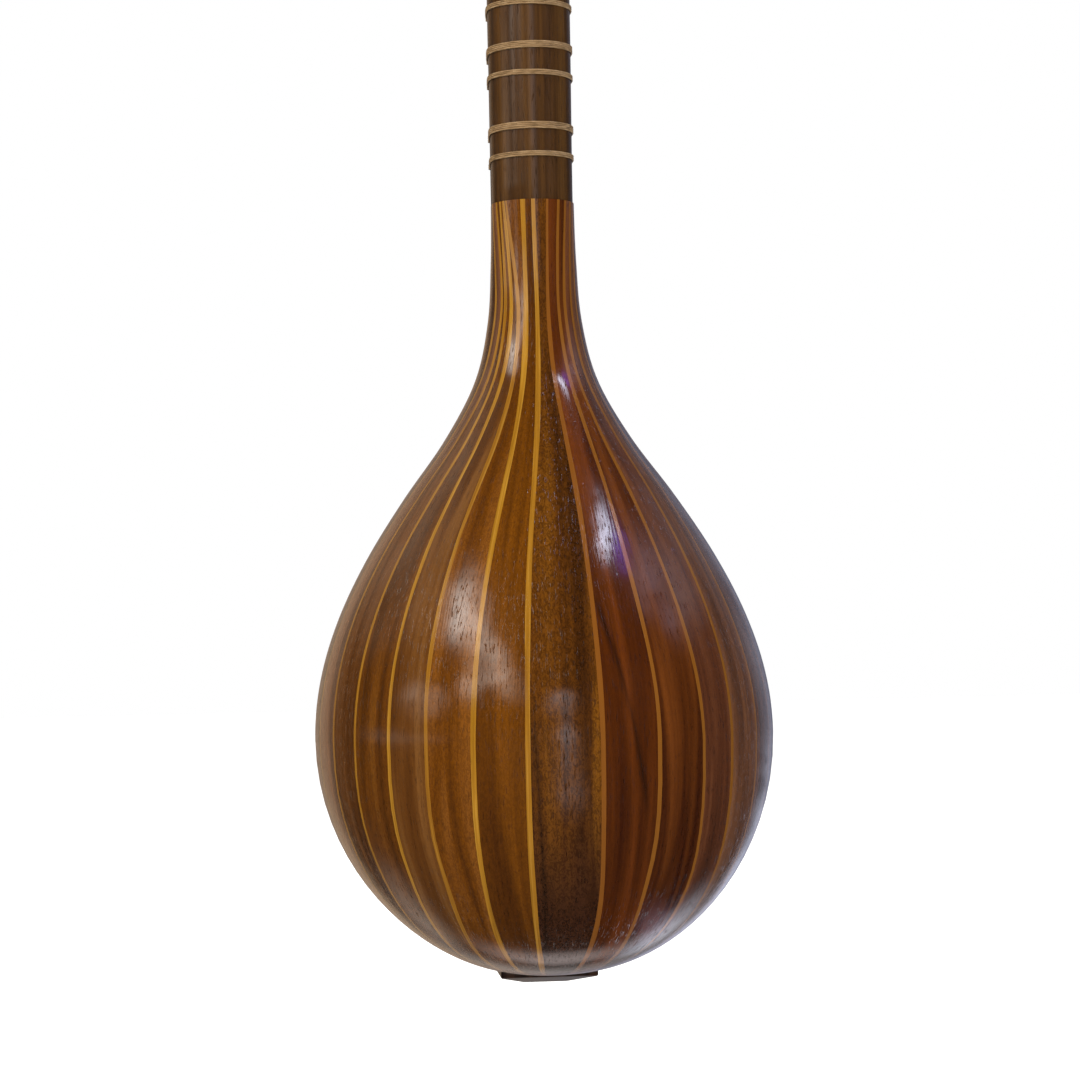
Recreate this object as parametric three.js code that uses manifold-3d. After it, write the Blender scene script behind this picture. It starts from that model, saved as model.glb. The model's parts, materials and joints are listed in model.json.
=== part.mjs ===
// Setar: a long-necked lute with a bowl of walnut ribs, built as it comes apart on the bench.
// Millimetres, +Z from the tail to the head, -Y out of the soundboard, X = 0 in the symmetry plane.
// Y = 0 is the plane where the soundboard is glued to the bowl and the fingerboard to the neck.
// Z = 0 is the flat foot of the tailpiece.

import * as THREE from 'three';
import { mergeVertices } from 'three/addons/utils/BufferGeometryUtils.js';
import Module from 'manifold-3d';

const wasm = await Module();
wasm.setup();

// Bowl
const bowlLength = 270;
const bowlWidth = 160;
const bowlDepth = 115;
const widestHeight = 83;
const ribThickness = 3;
const centralRibWidth = 24.5;
const sideRibCount = 8;
const filletWidth = 1.9;
// A fillet narrows with its ribs, to this share of a rib's width
const filletWidthShare = 0.3;
// The seams lie in planes that fan out from this line, which runs from the tail to the neck
const seamAxisDepth = 10;
// How far forward of its widest line the section would close, if the soundboard didn't cut it
const frontReach = 38;
// The tail's back quarter is fuller than an ellipse by this much of its exponent
const backFullnessShare = 0.5;
// Size of the section from the widest place to the neck, at even steps of height:
// 1 is the bowl's full size and 0 is the neck's
const widthShares = [1, 0.965, 0.865, 0.708, 0.505, 0.277, 0.106, 0.03, 0.007, 0];
const depthShares = [1, 0.972, 0.874, 0.724, 0.534, 0.322, 0.132, 0.0345, 0.0046, 0];

// Neck and head
const neckWidth = 29.2;
const neckDepth = 28;
const tenonWidth = 10;
const tenonLength = 32;
const tenonFromFront = 6;
const tenonFromRibs = 5;
const headTopMargin = 22;
const headRecess = 4.5;
const headSwell = 2.6;
const headChamfer = 2.5;
const headOverlap = 1;
// Stations of the head: height, swell of each side, back of the section, back chamfer
const headShares = [
  [0, -0.25, 1, 0.3],
  [0.12, 0, 1, 0.26],
  [0.45, 0.7, 0.97, 0.2],
  [0.8, 1, 0.92, 0.2],
  [0.92, 0.35, 0.88, 0.24],
  [1, -1.9, 0.8, 0.24],
];

// Soundboard, fingerboard and what stands on them
const soundboardThickness = 2.6;
const soundHoleDiameter = 3;
const soundHoleSpacing = 8;
const soundHoleHeight = 150;
const soundHoleRows = [1, 2, 3, 2, 1];
const soundHoleSides = 8;
const stringLength = 663;
const bridgeHeight = 75;
const bridgeLength = 58;
const bridgeRise = 7;
const bridgeShoulderShare = 0.5;
const bridgeCrestMargin = 5;
const bridgeFootThickness = 6;
const bridgeCrestThickness = 2.4;
const bridgeArchRise = 3;
const bridgeFootLength = 12;
const nutThickness = 4;
const nutRise = 2.1;
const nutAction = 1.5;
const slotDepth = 0.9;
const slotWidth = 0.9;

// Blocks and brace inside the bowl
const neckBlockLength = 50;
const tailBlockWidth = 24;
const tailBlockDepth = 40;
const tailBlockRise = 14;
const tailBlockFront = 3;
const braceHeight = 118;
const braceThickness = 6;
const braceDepth = 9;

// Tailpiece
const tailpieceWidth = 34;
const tailpieceThickness = 5;
const tailpieceForward = 5;
const tailpieceBackward = 21;
const tailpieceFoot = 3;
const tailpieceFootWidth = 16;
const tailpieceEdge = 1.3;
const tailpieceRise = 3.2;
const tailpieceEndRise = 3.4;
const studDiameter = 2.6;
const studLength = 2.4;
const studRoot = 1;
const studSpacing = 7.5;
const studHeight = 3.4;
const studSides = 8;
const studPlaceShares = [1.5, 0.5, -0.5, -1.5];

// Pegs
const pegDiameter = 8;
const pegTipDiameter = 6.4;
const pegTipStandout = 2;
const pegShank = 11;
const pegCollarDiameter = 12;
const pegCollarThickness = 2.2;
const pegWaistDiameter = 8.6;
const pegKnobDiameter = 18;
const pegKnobLength = 22;
const pegFinialDiameter = 6;
const pegFinialLength = 3.5;
// The knob is thickest at this share of its length and starts to close at the second one,
// where its diameter is this share of the largest; the finial narrows to the last share
const knobBulgeShare = 0.45;
const knobCloseShare = 0.8;
const knobCloseDiameterShare = 0.86;
const finialTipShare = 0.8;
const pegSides = 12;
const pegCount = 4;
const firstPegRise = 27;
const pegSpacing = 21;
const sidePegDepth = 12;
// Places of the front pegs across the head, as shares of half the neck's width
const frontPegShares = [0.55, 0.2];

// Strings, from the treble side: place across half the nut and half the bridge
const nutPlaceShares = [0.58, 0.15, -0.4, -0.58];
const bridgePlaceShares = [0.45, 0.12, -0.29, -0.41];
const steelDiameter = 0.22;
const brassDiameter = 0.25;
const bassDiameter = 0.4;
const stringGap = 0.3;
const hookSteps = 6;
const windingTurns = 4;
const windingSteps = 12;
const windingGap = 0.5;
const windingStandoff = 2;

// Tied frets: cents above the open string, and those tied with one turn more
const fretCents = [
  90, 140, 204, 294, 340, 408, 498, 550, 640, 702, 792, 840, 906,
  996, 1040, 1110, 1200, 1290, 1404, 1494, 1592, 1693, 1762, 1902, 1982,
];
const wideFretCents = [204, 294, 498, 702, 906, 996, 1200, 1404, 1494, 1693, 1902];
const centsPerOctave = 1200;
const fretTurns = 3;
const wideFretTurns = 4;
const gutWidth = 0.3;
const gutRise = 0.6;
const gutPitch = 0.72;
const lastFretClearance = 5;

// Clearances
const glueGap = 0.05;
const cutGap = 0.3;
const runningGap = 0.12;
const overrun = 5;

// Places that follow from the sizes
const poleZ = tailpieceThickness;
const jointZ = poleZ + bowlLength;
const bridgeZ = poleZ + bridgeHeight;
const nutZ = bridgeZ + stringLength;
const nutEndZ = nutZ + nutThickness;
const headLength = firstPegRise + (pegCount - 1) * pegSpacing + headTopMargin;
const tenonDepth = neckDepth - ribThickness - tenonFromRibs - tenonFromFront;
const neckHalf = neckWidth / 2;
const widestDepth = neckDepth - neckHalf;
const frontShare = Math.sqrt(1 - (widestDepth / frontReach) ** 2);
const neckFrontHalf = neckHalf * frontShare;
const boardFront = -(soundboardThickness + glueGap);
const nutPlaces = nutPlaceShares.map((share) => share * neckFrontHalf);
const bridgePlaces = bridgePlaceShares.map((share) => (share * bridgeLength) / 2);
const studPlaces = studPlaceShares.map((share) => share * studSpacing);
const frontPegPlaces = frontPegShares.map((share) => share * neckHalf);
const stringDiameters = [steelDiameter, brassDiameter, steelDiameter, bassDiameter];

// Stations of the bowl. reach grows from the tail to the widest place, and rise from there to the neck.
// The soundboard's lower edge crosses the middle at boardEdgeShare.
const boardEdgeShare = seamAxisDepth / (frontReach - widestDepth + seamAxisDepth);
const ringStartShare = 0.05;
const ringEndShare = 0.08;
const ringGapShare = 0.003;
const ribStartShare = ringEndShare + ringGapShare;
const upperSteps = 12;
const tailShares = [ribStartShare, 0.18, boardEdgeShare];
const boardTailShares = [0.08, 0.2, 0.38, 0.57, 0.76, 0.92];
const lowerShares = [
  ...tailShares,
  ...boardTailShares.map((share) => boardEdgeShare + (1 - boardEdgeShare) * share),
];
const ribStations = [
  ...lowerShares.map((reach) => ({ reach, rise: 0 })),
  ...Array.from({ length: upperSteps + 1 }, (_, step) => ({ reach: 1, rise: step / upperSteps })),
];
const filletStations = [
  { reach: ringStartShare, rise: 0 },
  { reach: ringEndShare, rise: 0 },
  ...ribStations,
];
const widestStation = { reach: 1, rise: 0 };

// A smooth curve through evenly spaced shares, level at its start
function shareAt(shares, along) {
  const last = shares.length - 1;
  const place = along * last;
  const from = Math.min(Math.floor(place), last - 1);
  const t = place - from;
  const before = shares[Math.abs(from - 1)];
  const start = shares[from];
  const end = shares[from + 1];
  const after = shares[Math.min(from + 2, last)];
  const startSlope = (end - before) / 2;
  const endSlope = (after - start) / 2;
  const square = t * t;
  const cube = square * t;
  return start * (2 * cube - 3 * square + 1)
    + startSlope * (cube - 2 * square + t)
    + end * (3 * square - 2 * cube)
    + endSlope * (cube - square);
}

// Half-width and depth of the bowl's section. inset is how far inside the outer face it lies.
function sectionSize(rise, inset) {
  const half = neckHalf + (bowlWidth / 2 - neckHalf) * shareAt(widthShares, rise) - inset;
  const depth = neckDepth + (bowlDepth - neckDepth) * shareAt(depthShares, rise) - inset;
  return { half, depth };
}

// Distance from the seam axis to the section's outline, at an angle from the back.
// The outline is a half ellipse behind the widest line and a flatter one in front of it.
function outlineDistance(angle, rise, inset) {
  const { half, depth } = sectionSize(rise, inset);
  const across = Math.sin(angle);
  const back = Math.cos(angle);
  const offset = seamAxisDepth - widestDepth;
  const along = (reach) => {
    const a = (across / half) ** 2 + (back / reach) ** 2;
    const b = (back * offset) / reach ** 2;
    const c = (offset / reach) ** 2 - 1;
    return (Math.sqrt(b * b - a * c) - b) / a;
  };
  const distance = along(depth - widestDepth);
  if (offset + distance * back >= 0) return distance;
  return along(frontReach - inset);
}

function bowlPoint(station, angle, inset) {
  const distance = outlineDistance(angle, station.rise, inset) * station.reach;
  const exponent = 2 + backFullnessShare * Math.max(0, Math.cos(angle)) ** 2;
  const fall = (1 - station.reach ** exponent) ** (1 / exponent);
  const low = poleZ + inset + (widestHeight - inset) * (1 - fall);
  const z = low + station.rise * (bowlLength - widestHeight);
  return new THREE.Vector3(distance * Math.sin(angle), seamAxisDepth + distance * Math.cos(angle), z);
}

// The angle at which the section meets the soundboard, or nearly the whole half turn below its edge
function frontAngle(station, inset) {
  const { half } = sectionSize(station.rise, inset);
  const behind = seamAxisDepth / station.reach;
  const drop = (widestDepth - seamAxisDepth + behind) / (frontReach - inset);
  const middle = outlineDistance(Math.PI, station.rise, inset) * station.reach;
  const limit = Math.PI - Math.asin(glueGap / middle);
  if (drop >= 1) return limit;
  return Math.min(limit, Math.atan2(half * Math.sqrt(1 - drop * drop), -behind));
}

// Arc length along the section for each radian at that place
function arcPerRadian(station, angle, inset) {
  const step = THREE.MathUtils.degToRad(0.5);
  const before = bowlPoint(station, angle - step, inset);
  const after = bowlPoint(station, angle + step, inset);
  return before.distanceTo(after) / (2 * step);
}

// Seams on one side: the central rib is the widest, and the side ribs share the rest of the arc
function seamAnglesOfSide() {
  const steps = 1000;
  const end = frontAngle(widestStation, 0);
  const arcs = [0];
  for (let step = 1; step <= steps; step += 1) {
    const before = bowlPoint(widestStation, (end * (step - 1)) / steps, 0);
    const after = bowlPoint(widestStation, (end * step) / steps, 0);
    arcs.push(arcs[step - 1] + before.distanceTo(after));
  }
  const sideRibWidth = (arcs[steps] - centralRibWidth / 2) / sideRibCount;
  return Array.from({ length: sideRibCount }, (_, seam) => {
    const wanted = centralRibWidth / 2 + seam * sideRibWidth;
    return (end * arcs.findIndex((arc) => arc >= wanted)) / steps;
  });
}

const sideSeams = seamAnglesOfSide();
const seams = [...sideSeams.map((angle) => -angle).reverse(), ...sideSeams];
const seamPitch = sideSeams[1] - sideSeams[0];

// The angle of a fillet's side, or of the rib's side beyond a gap
function seamSide(station, seam, side, gap, inset) {
  const arc = arcPerRadian(station, seam, inset);
  const width = Math.min(filletWidth, filletWidthShare * arcPerRadian(station, seam, 0) * seamPitch);
  return seam + (side * (width / 2 + gap)) / arc;
}

// Solids

function meshFrom(triangles) {
  const geometry = new THREE.BufferGeometry();
  const places = triangles.flat().flatMap((point) => [point.x, point.y, point.z]);
  geometry.setAttribute('position', new THREE.Float32BufferAttribute(places, 3));
  return faceOut(geometry);
}

// Turns every triangle over if the solid's volume comes out negative
function faceOut(geometry) {
  const place = geometry.getAttribute('position');
  const corner = [0, 1, 2].map(() => new THREE.Vector3());
  let volume = 0;
  for (let first = 0; first < place.count; first += 3) {
    corner.forEach((point, index) => point.fromBufferAttribute(place, first + index));
    volume += corner[0].dot(corner[1].clone().cross(corner[2]));
  }
  if (volume < 0) {
    for (let first = 0; first < place.count; first += 3) {
      const one = new THREE.Vector3().fromBufferAttribute(place, first);
      const two = new THREE.Vector3().fromBufferAttribute(place, first + 1);
      place.setXYZ(first, two.x, two.y, two.z);
      place.setXYZ(first + 1, one.x, one.y, one.z);
    }
  }
  geometry.computeVertexNormals();
  return geometry;
}

function quad(triangles, a, b, c, d) {
  triangles.push([a, b, c], [a, c, d]);
}

// A curved wall between two grids of points, [station][column]. Cells that aren't filled stay open.
function wall(outer, inner, filled = () => true) {
  const triangles = [];
  const stations = outer.length - 1;
  const columns = outer[0].length - 1;
  const has = (s, c) => s >= 0 && c >= 0 && s < stations && c < columns && filled(s, c);
  for (let s = 0; s < stations; s += 1) {
    for (let c = 0; c < columns; c += 1) {
      if (!has(s, c)) continue;
      quad(triangles, outer[s][c], outer[s][c + 1], outer[s + 1][c + 1], outer[s + 1][c]);
      quad(triangles, inner[s][c], inner[s + 1][c], inner[s + 1][c + 1], inner[s][c + 1]);
      if (!has(s - 1, c)) quad(triangles, inner[s][c], inner[s][c + 1], outer[s][c + 1], outer[s][c]);
      if (!has(s + 1, c)) {
        quad(triangles, outer[s + 1][c], outer[s + 1][c + 1], inner[s + 1][c + 1], inner[s + 1][c]);
      }
      if (!has(s, c - 1)) quad(triangles, outer[s][c], outer[s + 1][c], inner[s + 1][c], inner[s][c]);
      if (!has(s, c + 1)) {
        quad(triangles, inner[s][c + 1], inner[s + 1][c + 1], outer[s + 1][c + 1], outer[s][c + 1]);
      }
    }
  }
  return meshFrom(triangles);
}

// A solid through closed loops of points, with flat or nearly flat convex ends
function loft(loops) {
  const triangles = [];
  const count = loops[0].length;
  for (let ring = 0; ring < loops.length - 1; ring += 1) {
    for (let index = 0; index < count; index += 1) {
      const next = (index + 1) % count;
      quad(triangles, loops[ring][index], loops[ring][next], loops[ring + 1][next], loops[ring + 1][index]);
    }
  }
  const first = loops[0];
  const last = loops[loops.length - 1];
  for (let index = 1; index < count - 1; index += 1) {
    triangles.push([first[0], first[index + 1], first[index]]);
    triangles.push([last[0], last[index], last[index + 1]]);
  }
  return meshFrom(triangles);
}

// A turned solid: the profile runs from the axis to the axis, and the axis is Y
function turned(profile, sides) {
  return faceOut(new THREE.LatheGeometry(profile, sides).toNonIndexed());
}

function box(low, high) {
  const size = high.clone().sub(low);
  const middle = high.clone().add(low).multiplyScalar(0.5);
  const geometry = new THREE.BoxGeometry(size.x, size.y, size.z);
  return geometry.translate(middle.x, middle.y, middle.z);
}

// An outline in X and Y, extruded along Z from a height
function extrudeUp(outline, z, length) {
  const shape = new THREE.Shape(outline.map(([x, y]) => new THREE.Vector2(x, y)));
  const geometry = new THREE.ExtrudeGeometry(shape, { depth: length, bevelEnabled: false });
  return geometry.translate(0, 0, z);
}

// An outline in Y and Z, extruded along X over a width centred on X = 0
function extrudeAcross(outline, width) {
  const shape = new THREE.Shape(outline.map(([y, z]) => new THREE.Vector2(y, z)));
  const geometry = new THREE.ExtrudeGeometry(shape, { depth: width, bevelEnabled: false });
  geometry.translate(0, 0, -width / 2);
  const turn = new THREE.Matrix4().makeBasis(
    new THREE.Vector3(0, 1, 0),
    new THREE.Vector3(0, 0, 1),
    new THREE.Vector3(1, 0, 0),
  );
  return geometry.applyMatrix4(turn);
}

function toManifold(geometry) {
  const bare = geometry.clone();
  bare.deleteAttribute('normal');
  bare.deleteAttribute('uv');
  const merged = mergeVertices(bare);
  return new wasm.Manifold(new wasm.Mesh({
    numProp: 3,
    vertProperties: Float32Array.from(merged.getAttribute('position').array),
    triVerts: Uint32Array.from(merged.getIndex().array),
  }));
}

function fromManifold(solid) {
  const mesh = solid.getMesh();
  const geometry = new THREE.BufferGeometry();
  geometry.setAttribute('position', new THREE.BufferAttribute(mesh.vertProperties, mesh.numProp));
  geometry.setIndex(new THREE.BufferAttribute(mesh.triVerts, 1));
  const flat = geometry.toNonIndexed();
  flat.computeVertexNormals();
  return flat;
}

function cut(geometry, ...tools) {
  return fromManifold(tools.reduce((solid, tool) => solid.subtract(toManifold(tool)), toManifold(geometry)));
}

function join(...parts) {
  return fromManifold(parts.map(toManifold).reduce((solid, part) => solid.add(part)));
}

function common(one, two) {
  return fromManifold(toManifold(one).intersect(toManifold(two)));
}

// A tube of square section along a line of points
function tube(points, diameter) {
  const half = diameter / 2;
  const loops = [];
  let side = null;
  points.forEach((point, index) => {
    const before = points[Math.max(index - 1, 0)];
    const after = points[Math.min(index + 1, points.length - 1)];
    const heading = after.clone().sub(before).normalize();
    if (!side) side = new THREE.Vector3(1, 0, 0).cross(heading).normalize();
    side.addScaledVector(heading, -side.dot(heading)).normalize();
    const up = heading.clone().cross(side);
    loops.push([[1, 1], [-1, 1], [-1, -1], [1, -1]].map(([a, b]) => point.clone()
      .addScaledVector(side, a * half)
      .addScaledVector(up, b * half)));
  });
  return loft(loops);
}

// The least distance between places of a wound line that are at least half a turn apart, less its width
function leastGap(points, pointsPerTurn, width) {
  let least = Infinity;
  const apart = Math.ceil(pointsPerTurn / 2);
  const nearest = new THREE.Vector3();
  for (let one = 0; one < points.length; one += 1) {
    for (let two = one + apart; two < points.length - 1; two += 1) {
      const piece = new THREE.Line3(points[two], points[two + 1]);
      piece.closestPointToPoint(points[one], true, nearest);
      least = Math.min(least, nearest.distanceTo(points[one]));
    }
  }
  return least - width;
}

// Materials
const finish = (color, roughness, metalness = 0) => (
  new THREE.MeshStandardMaterial({ color, roughness, metalness })
);
const walnutBrown = finish('#5c4026', 0.3);
const walnutGold = finish('#6a440f', 0.3);
const walnutRed = finish('#5a3110', 0.3);
const walnutDark = finish('#3f2815', 0.3);
const filletWood = finish('#b0812c', 0.35);
const neckWood = finish('#4f3119', 0.32);
const boardWood = finish('#c29a5e', 0.5);
const blockWood = finish('#c9b083', 0.7);
const hardWood = finish('#2b1a10', 0.35);
const bone = finish('#e6dcc4', 0.45);
const gut = finish('#ab8d66', 0.55);
const steel = finish('#c9ccd0', 0.3, 1);
const brass = finish('#c8a24a', 0.3, 1);

const setar = new THREE.Group();

function addPart(group, name, geometry, material) {
  const mesh = new THREE.Mesh(geometry, material);
  mesh.name = name;
  group.add(mesh);
  return mesh;
}

// Bowl ribs, numbered from -X to +X
const ribLooks = [
  walnutBrown, walnutBrown, walnutRed, walnutBrown, walnutBrown, walnutRed, walnutBrown, walnutRed,
  walnutDark,
  walnutGold, walnutGold, walnutBrown, walnutGold, walnutBrown, walnutBrown, walnutBrown, walnutBrown,
];
const ribCount = 2 * sideRibCount + 1;
const edgeRibColumns = 3;

// Angles of a rib's columns at a station. The two ribs at the soundboard have columns of their own,
// which lie at the same angles inside and outside.
function ribColumns(rib, station, gap, inset) {
  const isFirst = rib === 0;
  const isLast = rib === ribCount - 1;
  const front = frontAngle(station, inset);
  const outerFront = frontAngle(station, 0);
  const start = isFirst ? -front : seamSide(station, seams[rib - 1], 1, gap, inset);
  const end = isLast ? front : seamSide(station, seams[rib], -1, gap, inset);
  if (!isFirst && !isLast) return [start, end];
  const from = isFirst ? -outerFront : seams[rib - 1];
  const to = isLast ? outerFront : seams[rib];
  const between = Array.from({ length: edgeRibColumns - 1 }, (_, step) => (
    from + ((to - from) * (step + 1)) / edgeRibColumns
  ));
  return [start, ...between, end];
}

function ribGrid(rib, inset) {
  return ribStations.map((station) => (
    ribColumns(rib, station, glueGap, inset).map((angle) => bowlPoint(station, angle, inset))
  ));
}

function buildRibs(group) {
  for (let rib = 0; rib < ribCount; rib += 1) {
    const name = `rib_${String(rib + 1).padStart(2, '0')}`;
    const look = ribLooks[rib % ribLooks.length];
    addPart(group, name, wall(ribGrid(rib, 0), ribGrid(rib, ribThickness)), look);
  }
}

// Light strips between the ribs, joined where they all meet at the tail
function buildFillets(group) {
  const grid = (inset) => filletStations.map((station) => (
    seams.flatMap((seam) => [-1, 1].map((side) => (
      bowlPoint(station, seamSide(station, seam, side, 0, inset), inset)
    )))
  ));
  const strips = wall(grid(0), grid(ribThickness), (station, column) => station === 0 || column % 2 === 0);
  addPart(group, 'seam_fillets', strips, filletWood);
}

// The bowl's inside, or its outside with a margin, as one solid whose facets match the ribs'
function bowlSolid(inset, frontY) {
  const loops = ribStations.map((station) => {
    const angles = [];
    for (let rib = 0; rib < ribCount; rib += 1) angles.push(...ribColumns(rib, station, glueGap, inset));
    return angles.map((angle) => {
      const point = bowlPoint(station, angle, inset);
      point.y = Math.max(point.y, 0);
      if (point.y === 0) point.y = frontY;
      return point;
    });
  });
  return loft(loops);
}

const bowlInside = common(bowlSolid(ribThickness + cutGap, 0), bowlSolid(ribThickness, 0));

// A block that fills a box inside the bowl, as far as a gap to the ribs
function insideBox(low, high) {
  return common(box(low, high), bowlInside);
}

// Neck with its head and the tenon that goes into the neck block

// The neck's section: a flat front, slightly narrower than the middle, and a round back
const neckBackSteps = 6;
function neckBack() {
  return Array.from({ length: neckBackSteps + 1 }, (_, step) => {
    const angle = (Math.PI * step) / neckBackSteps;
    return [neckHalf * Math.cos(angle), widestDepth + neckHalf * Math.sin(angle)];
  });
}

function neckLoop(frontY) {
  return [[-neckFrontHalf, frontY], [neckFrontHalf, frontY], ...neckBack()];
}

function raise(loop, z) {
  return loop.map(([x, y]) => new THREE.Vector3(x, y, z));
}

// Half-width and back of the head at a height
function headSize(z) {
  const share = (z - nutEndZ) / headLength;
  let next = headShares.findIndex(([height]) => height >= share);
  if (next < 1) next = 1;
  const [startHeight, startSwell, startBack] = headShares[next - 1];
  const [endHeight, endSwell, endBack] = headShares[next];
  const t = (share - startHeight) / (endHeight - startHeight);
  return {
    half: neckHalf + headSwell * (startSwell + (endSwell - startSwell) * t),
    back: neckDepth * (startBack + (endBack - startBack) * t),
  };
}

function headLoop([heightShare, swellShare, backShare, chamferShare]) {
  const half = neckHalf + headSwell * swellShare;
  const back = neckDepth * backShare;
  const round = neckDepth * chamferShare;
  const z = nutEndZ + headLength * heightShare;
  return raise([
    [-half + headChamfer, headRecess],
    [half - headChamfer, headRecess],
    [half, headRecess + headChamfer],
    [half, back - round],
    [half - round, back],
    [-half + round, back],
    [-half, back - round],
    [-half, headRecess + headChamfer],
  ], z);
}

function buildNeck(group, bores) {
  const shaft = loft([raise(neckLoop(0), jointZ + glueGap), raise(neckLoop(0), nutEndZ)]);
  const loops = headShares.map(headLoop);
  const root = headLoop(headShares[0]).map((point) => point.clone().setZ(nutEndZ - headOverlap));
  const head = loft([root, ...loops]);
  const tenon = box(
    new THREE.Vector3(-tenonWidth / 2, tenonFromFront, jointZ - tenonLength),
    new THREE.Vector3(tenonWidth / 2, tenonFromFront + tenonDepth, jointZ + overrun),
  );
  addPart(group, 'neck', cut(join(shaft, head, tenon), ...bores), neckWood);
  const board = box(
    new THREE.Vector3(-neckFrontHalf, boardFront, jointZ + glueGap),
    new THREE.Vector3(neckFrontHalf, -glueGap, nutZ - glueGap),
  );
  addPart(group, 'fingerboard', board, hardWood);
}

// The outline of a bar that carries the strings, seen along the neck, with a slot under each string
function slottedTop(half, top, places, slotFloor) {
  const outline = [[half, top]];
  [...places].sort((a, b) => b - a).forEach((place) => {
    outline.push([place + slotWidth / 2, top]);
    outline.push([place + slotWidth / 2, slotFloor]);
    outline.push([place - slotWidth / 2, slotFloor]);
    outline.push([place - slotWidth / 2, top]);
  });
  outline.push([-half, top]);
  return outline;
}

const nutStringY = boardFront - nutAction;
const bridgeTop = boardFront - glueGap - bridgeRise;
const bridgeSlotFloor = bridgeTop + slotDepth;
const thickest = Math.max(...stringDiameters);
const bridgeStringY = bridgeSlotFloor - stringGap - thickest / 2;

function buildNut(group) {
  const floor = nutStringY + thickest / 2 + stringGap;
  const top = boardFront - nutRise;
  const outline = [
    ...slottedTop(neckFrontHalf, top, nutPlaces, floor),
    [-neckFrontHalf, -glueGap],
    [neckFrontHalf, -glueGap],
  ];
  addPart(group, 'nut', extrudeUp(outline, nutZ, nutThickness), bone);
}

function buildBridge(group) {
  const half = bridgeLength / 2;
  const foot = boardFront - glueGap;
  const arch = foot - bridgeArchRise;
  const inner = half - bridgeFootLength;
  const shoulder = foot - bridgeRise * bridgeShoulderShare;
  const crestHalf = Math.max(...bridgePlaces.map(Math.abs)) + slotWidth + bridgeCrestMargin;
  const outline = [
    [half, shoulder],
    ...slottedTop(crestHalf, bridgeTop, bridgePlaces, bridgeSlotFloor),
    [-half, shoulder],
    [-half, foot],
    [-inner, foot],
    [-inner + bridgeArchRise, arch],
    [inner - bridgeArchRise, arch],
    [inner, foot],
    [half, foot],
  ];
  const front = extrudeUp(outline, bridgeZ - bridgeFootThickness / 2, bridgeFootThickness);
  const side = extrudeAcross([
    [foot, bridgeZ - bridgeFootThickness / 2],
    [foot, bridgeZ + bridgeFootThickness / 2],
    [bridgeTop, bridgeZ + bridgeCrestThickness / 2],
    [bridgeTop, bridgeZ - bridgeCrestThickness / 2],
  ], bridgeLength + overrun);
  addPart(group, 'bridge', common(front, side), hardWood);
}

// The soundboard's outline, or one that lies outside it by a margin
function boardShape(margin) {
  const edge = ribStations
    .filter((station) => station.reach >= boardEdgeShare)
    .map((station) => bowlPoint(station, frontAngle(station, -margin), -margin));
  const right = edge.map((point) => new THREE.Vector2(point.x, point.z));
  const left = edge.map((point) => new THREE.Vector2(-point.x, point.z)).reverse();
  return new THREE.Shape([...right, ...left]);
}

function plateFrom(shape, front, back) {
  const plate = new THREE.ExtrudeGeometry(shape, { depth: back - front, bevelEnabled: false });
  return plate.rotateX(Math.PI / 2).translate(0, back, 0);
}

function buildSoundboard(group) {
  const shape = boardShape(0);
  const middleRow = (soundHoleRows.length - 1) / 2;
  soundHoleRows.forEach((count, row) => {
    for (let hole = 0; hole < count; hole += 1) {
      const x = (hole - (count - 1) / 2) * soundHoleSpacing;
      const z = poleZ + soundHoleHeight + ((row - middleRow) * soundHoleSpacing) / 2;
      const ring = Array.from({ length: soundHoleSides }, (_, side) => {
        const angle = (2 * Math.PI * side) / soundHoleSides;
        const radius = soundHoleDiameter / 2;
        return new THREE.Vector2(x + radius * Math.cos(angle), z + radius * Math.sin(angle));
      });
      shape.holes.push(new THREE.Path(ring));
    }
  });
  addPart(group, 'soundboard', plateFrom(shape, boardFront, -glueGap), boardWood);
}

function buildInside(group) {
  const mortise = box(
    new THREE.Vector3(-tenonWidth / 2 - cutGap, tenonFromFront - cutGap, jointZ - tenonLength - cutGap),
    new THREE.Vector3(tenonWidth / 2 + cutGap, tenonFromFront + tenonDepth + cutGap, jointZ + overrun),
  );
  const neckBlock = insideBox(
    new THREE.Vector3(-bowlWidth, glueGap, jointZ - neckBlockLength),
    new THREE.Vector3(bowlWidth, bowlDepth, jointZ - glueGap),
  );
  addPart(group, 'neck_block', cut(neckBlock, mortise), blockWood);
  const tailBlock = insideBox(
    new THREE.Vector3(-tailBlockWidth / 2, tailBlockFront, 0),
    new THREE.Vector3(tailBlockWidth / 2, tailBlockDepth, poleZ + ribThickness + tailBlockRise),
  );
  addPart(group, 'tail_block', tailBlock, blockWood);
  const brace = insideBox(
    new THREE.Vector3(-bowlWidth, glueGap, poleZ + braceHeight),
    new THREE.Vector3(bowlWidth, braceDepth, poleZ + braceHeight + braceThickness),
  );
  addPart(group, 'soundboard_brace', brace, blockWood);
}

// The tailpiece from in front: flat at the foot and rising towards both ends, as the bowl does
function tailpieceShape() {
  const end = tailpieceWidth / 2;
  const foot = tailpieceFootWidth / 2;
  const top = poleZ + tailpieceRise + overrun;
  return new THREE.Shape([
    new THREE.Vector2(-end, top),
    new THREE.Vector2(-end, tailpieceEndRise),
    new THREE.Vector2(-foot, 0),
    new THREE.Vector2(foot, 0),
    new THREE.Vector2(end, tailpieceEndRise),
    new THREE.Vector2(end, top),
  ]);
}

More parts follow.
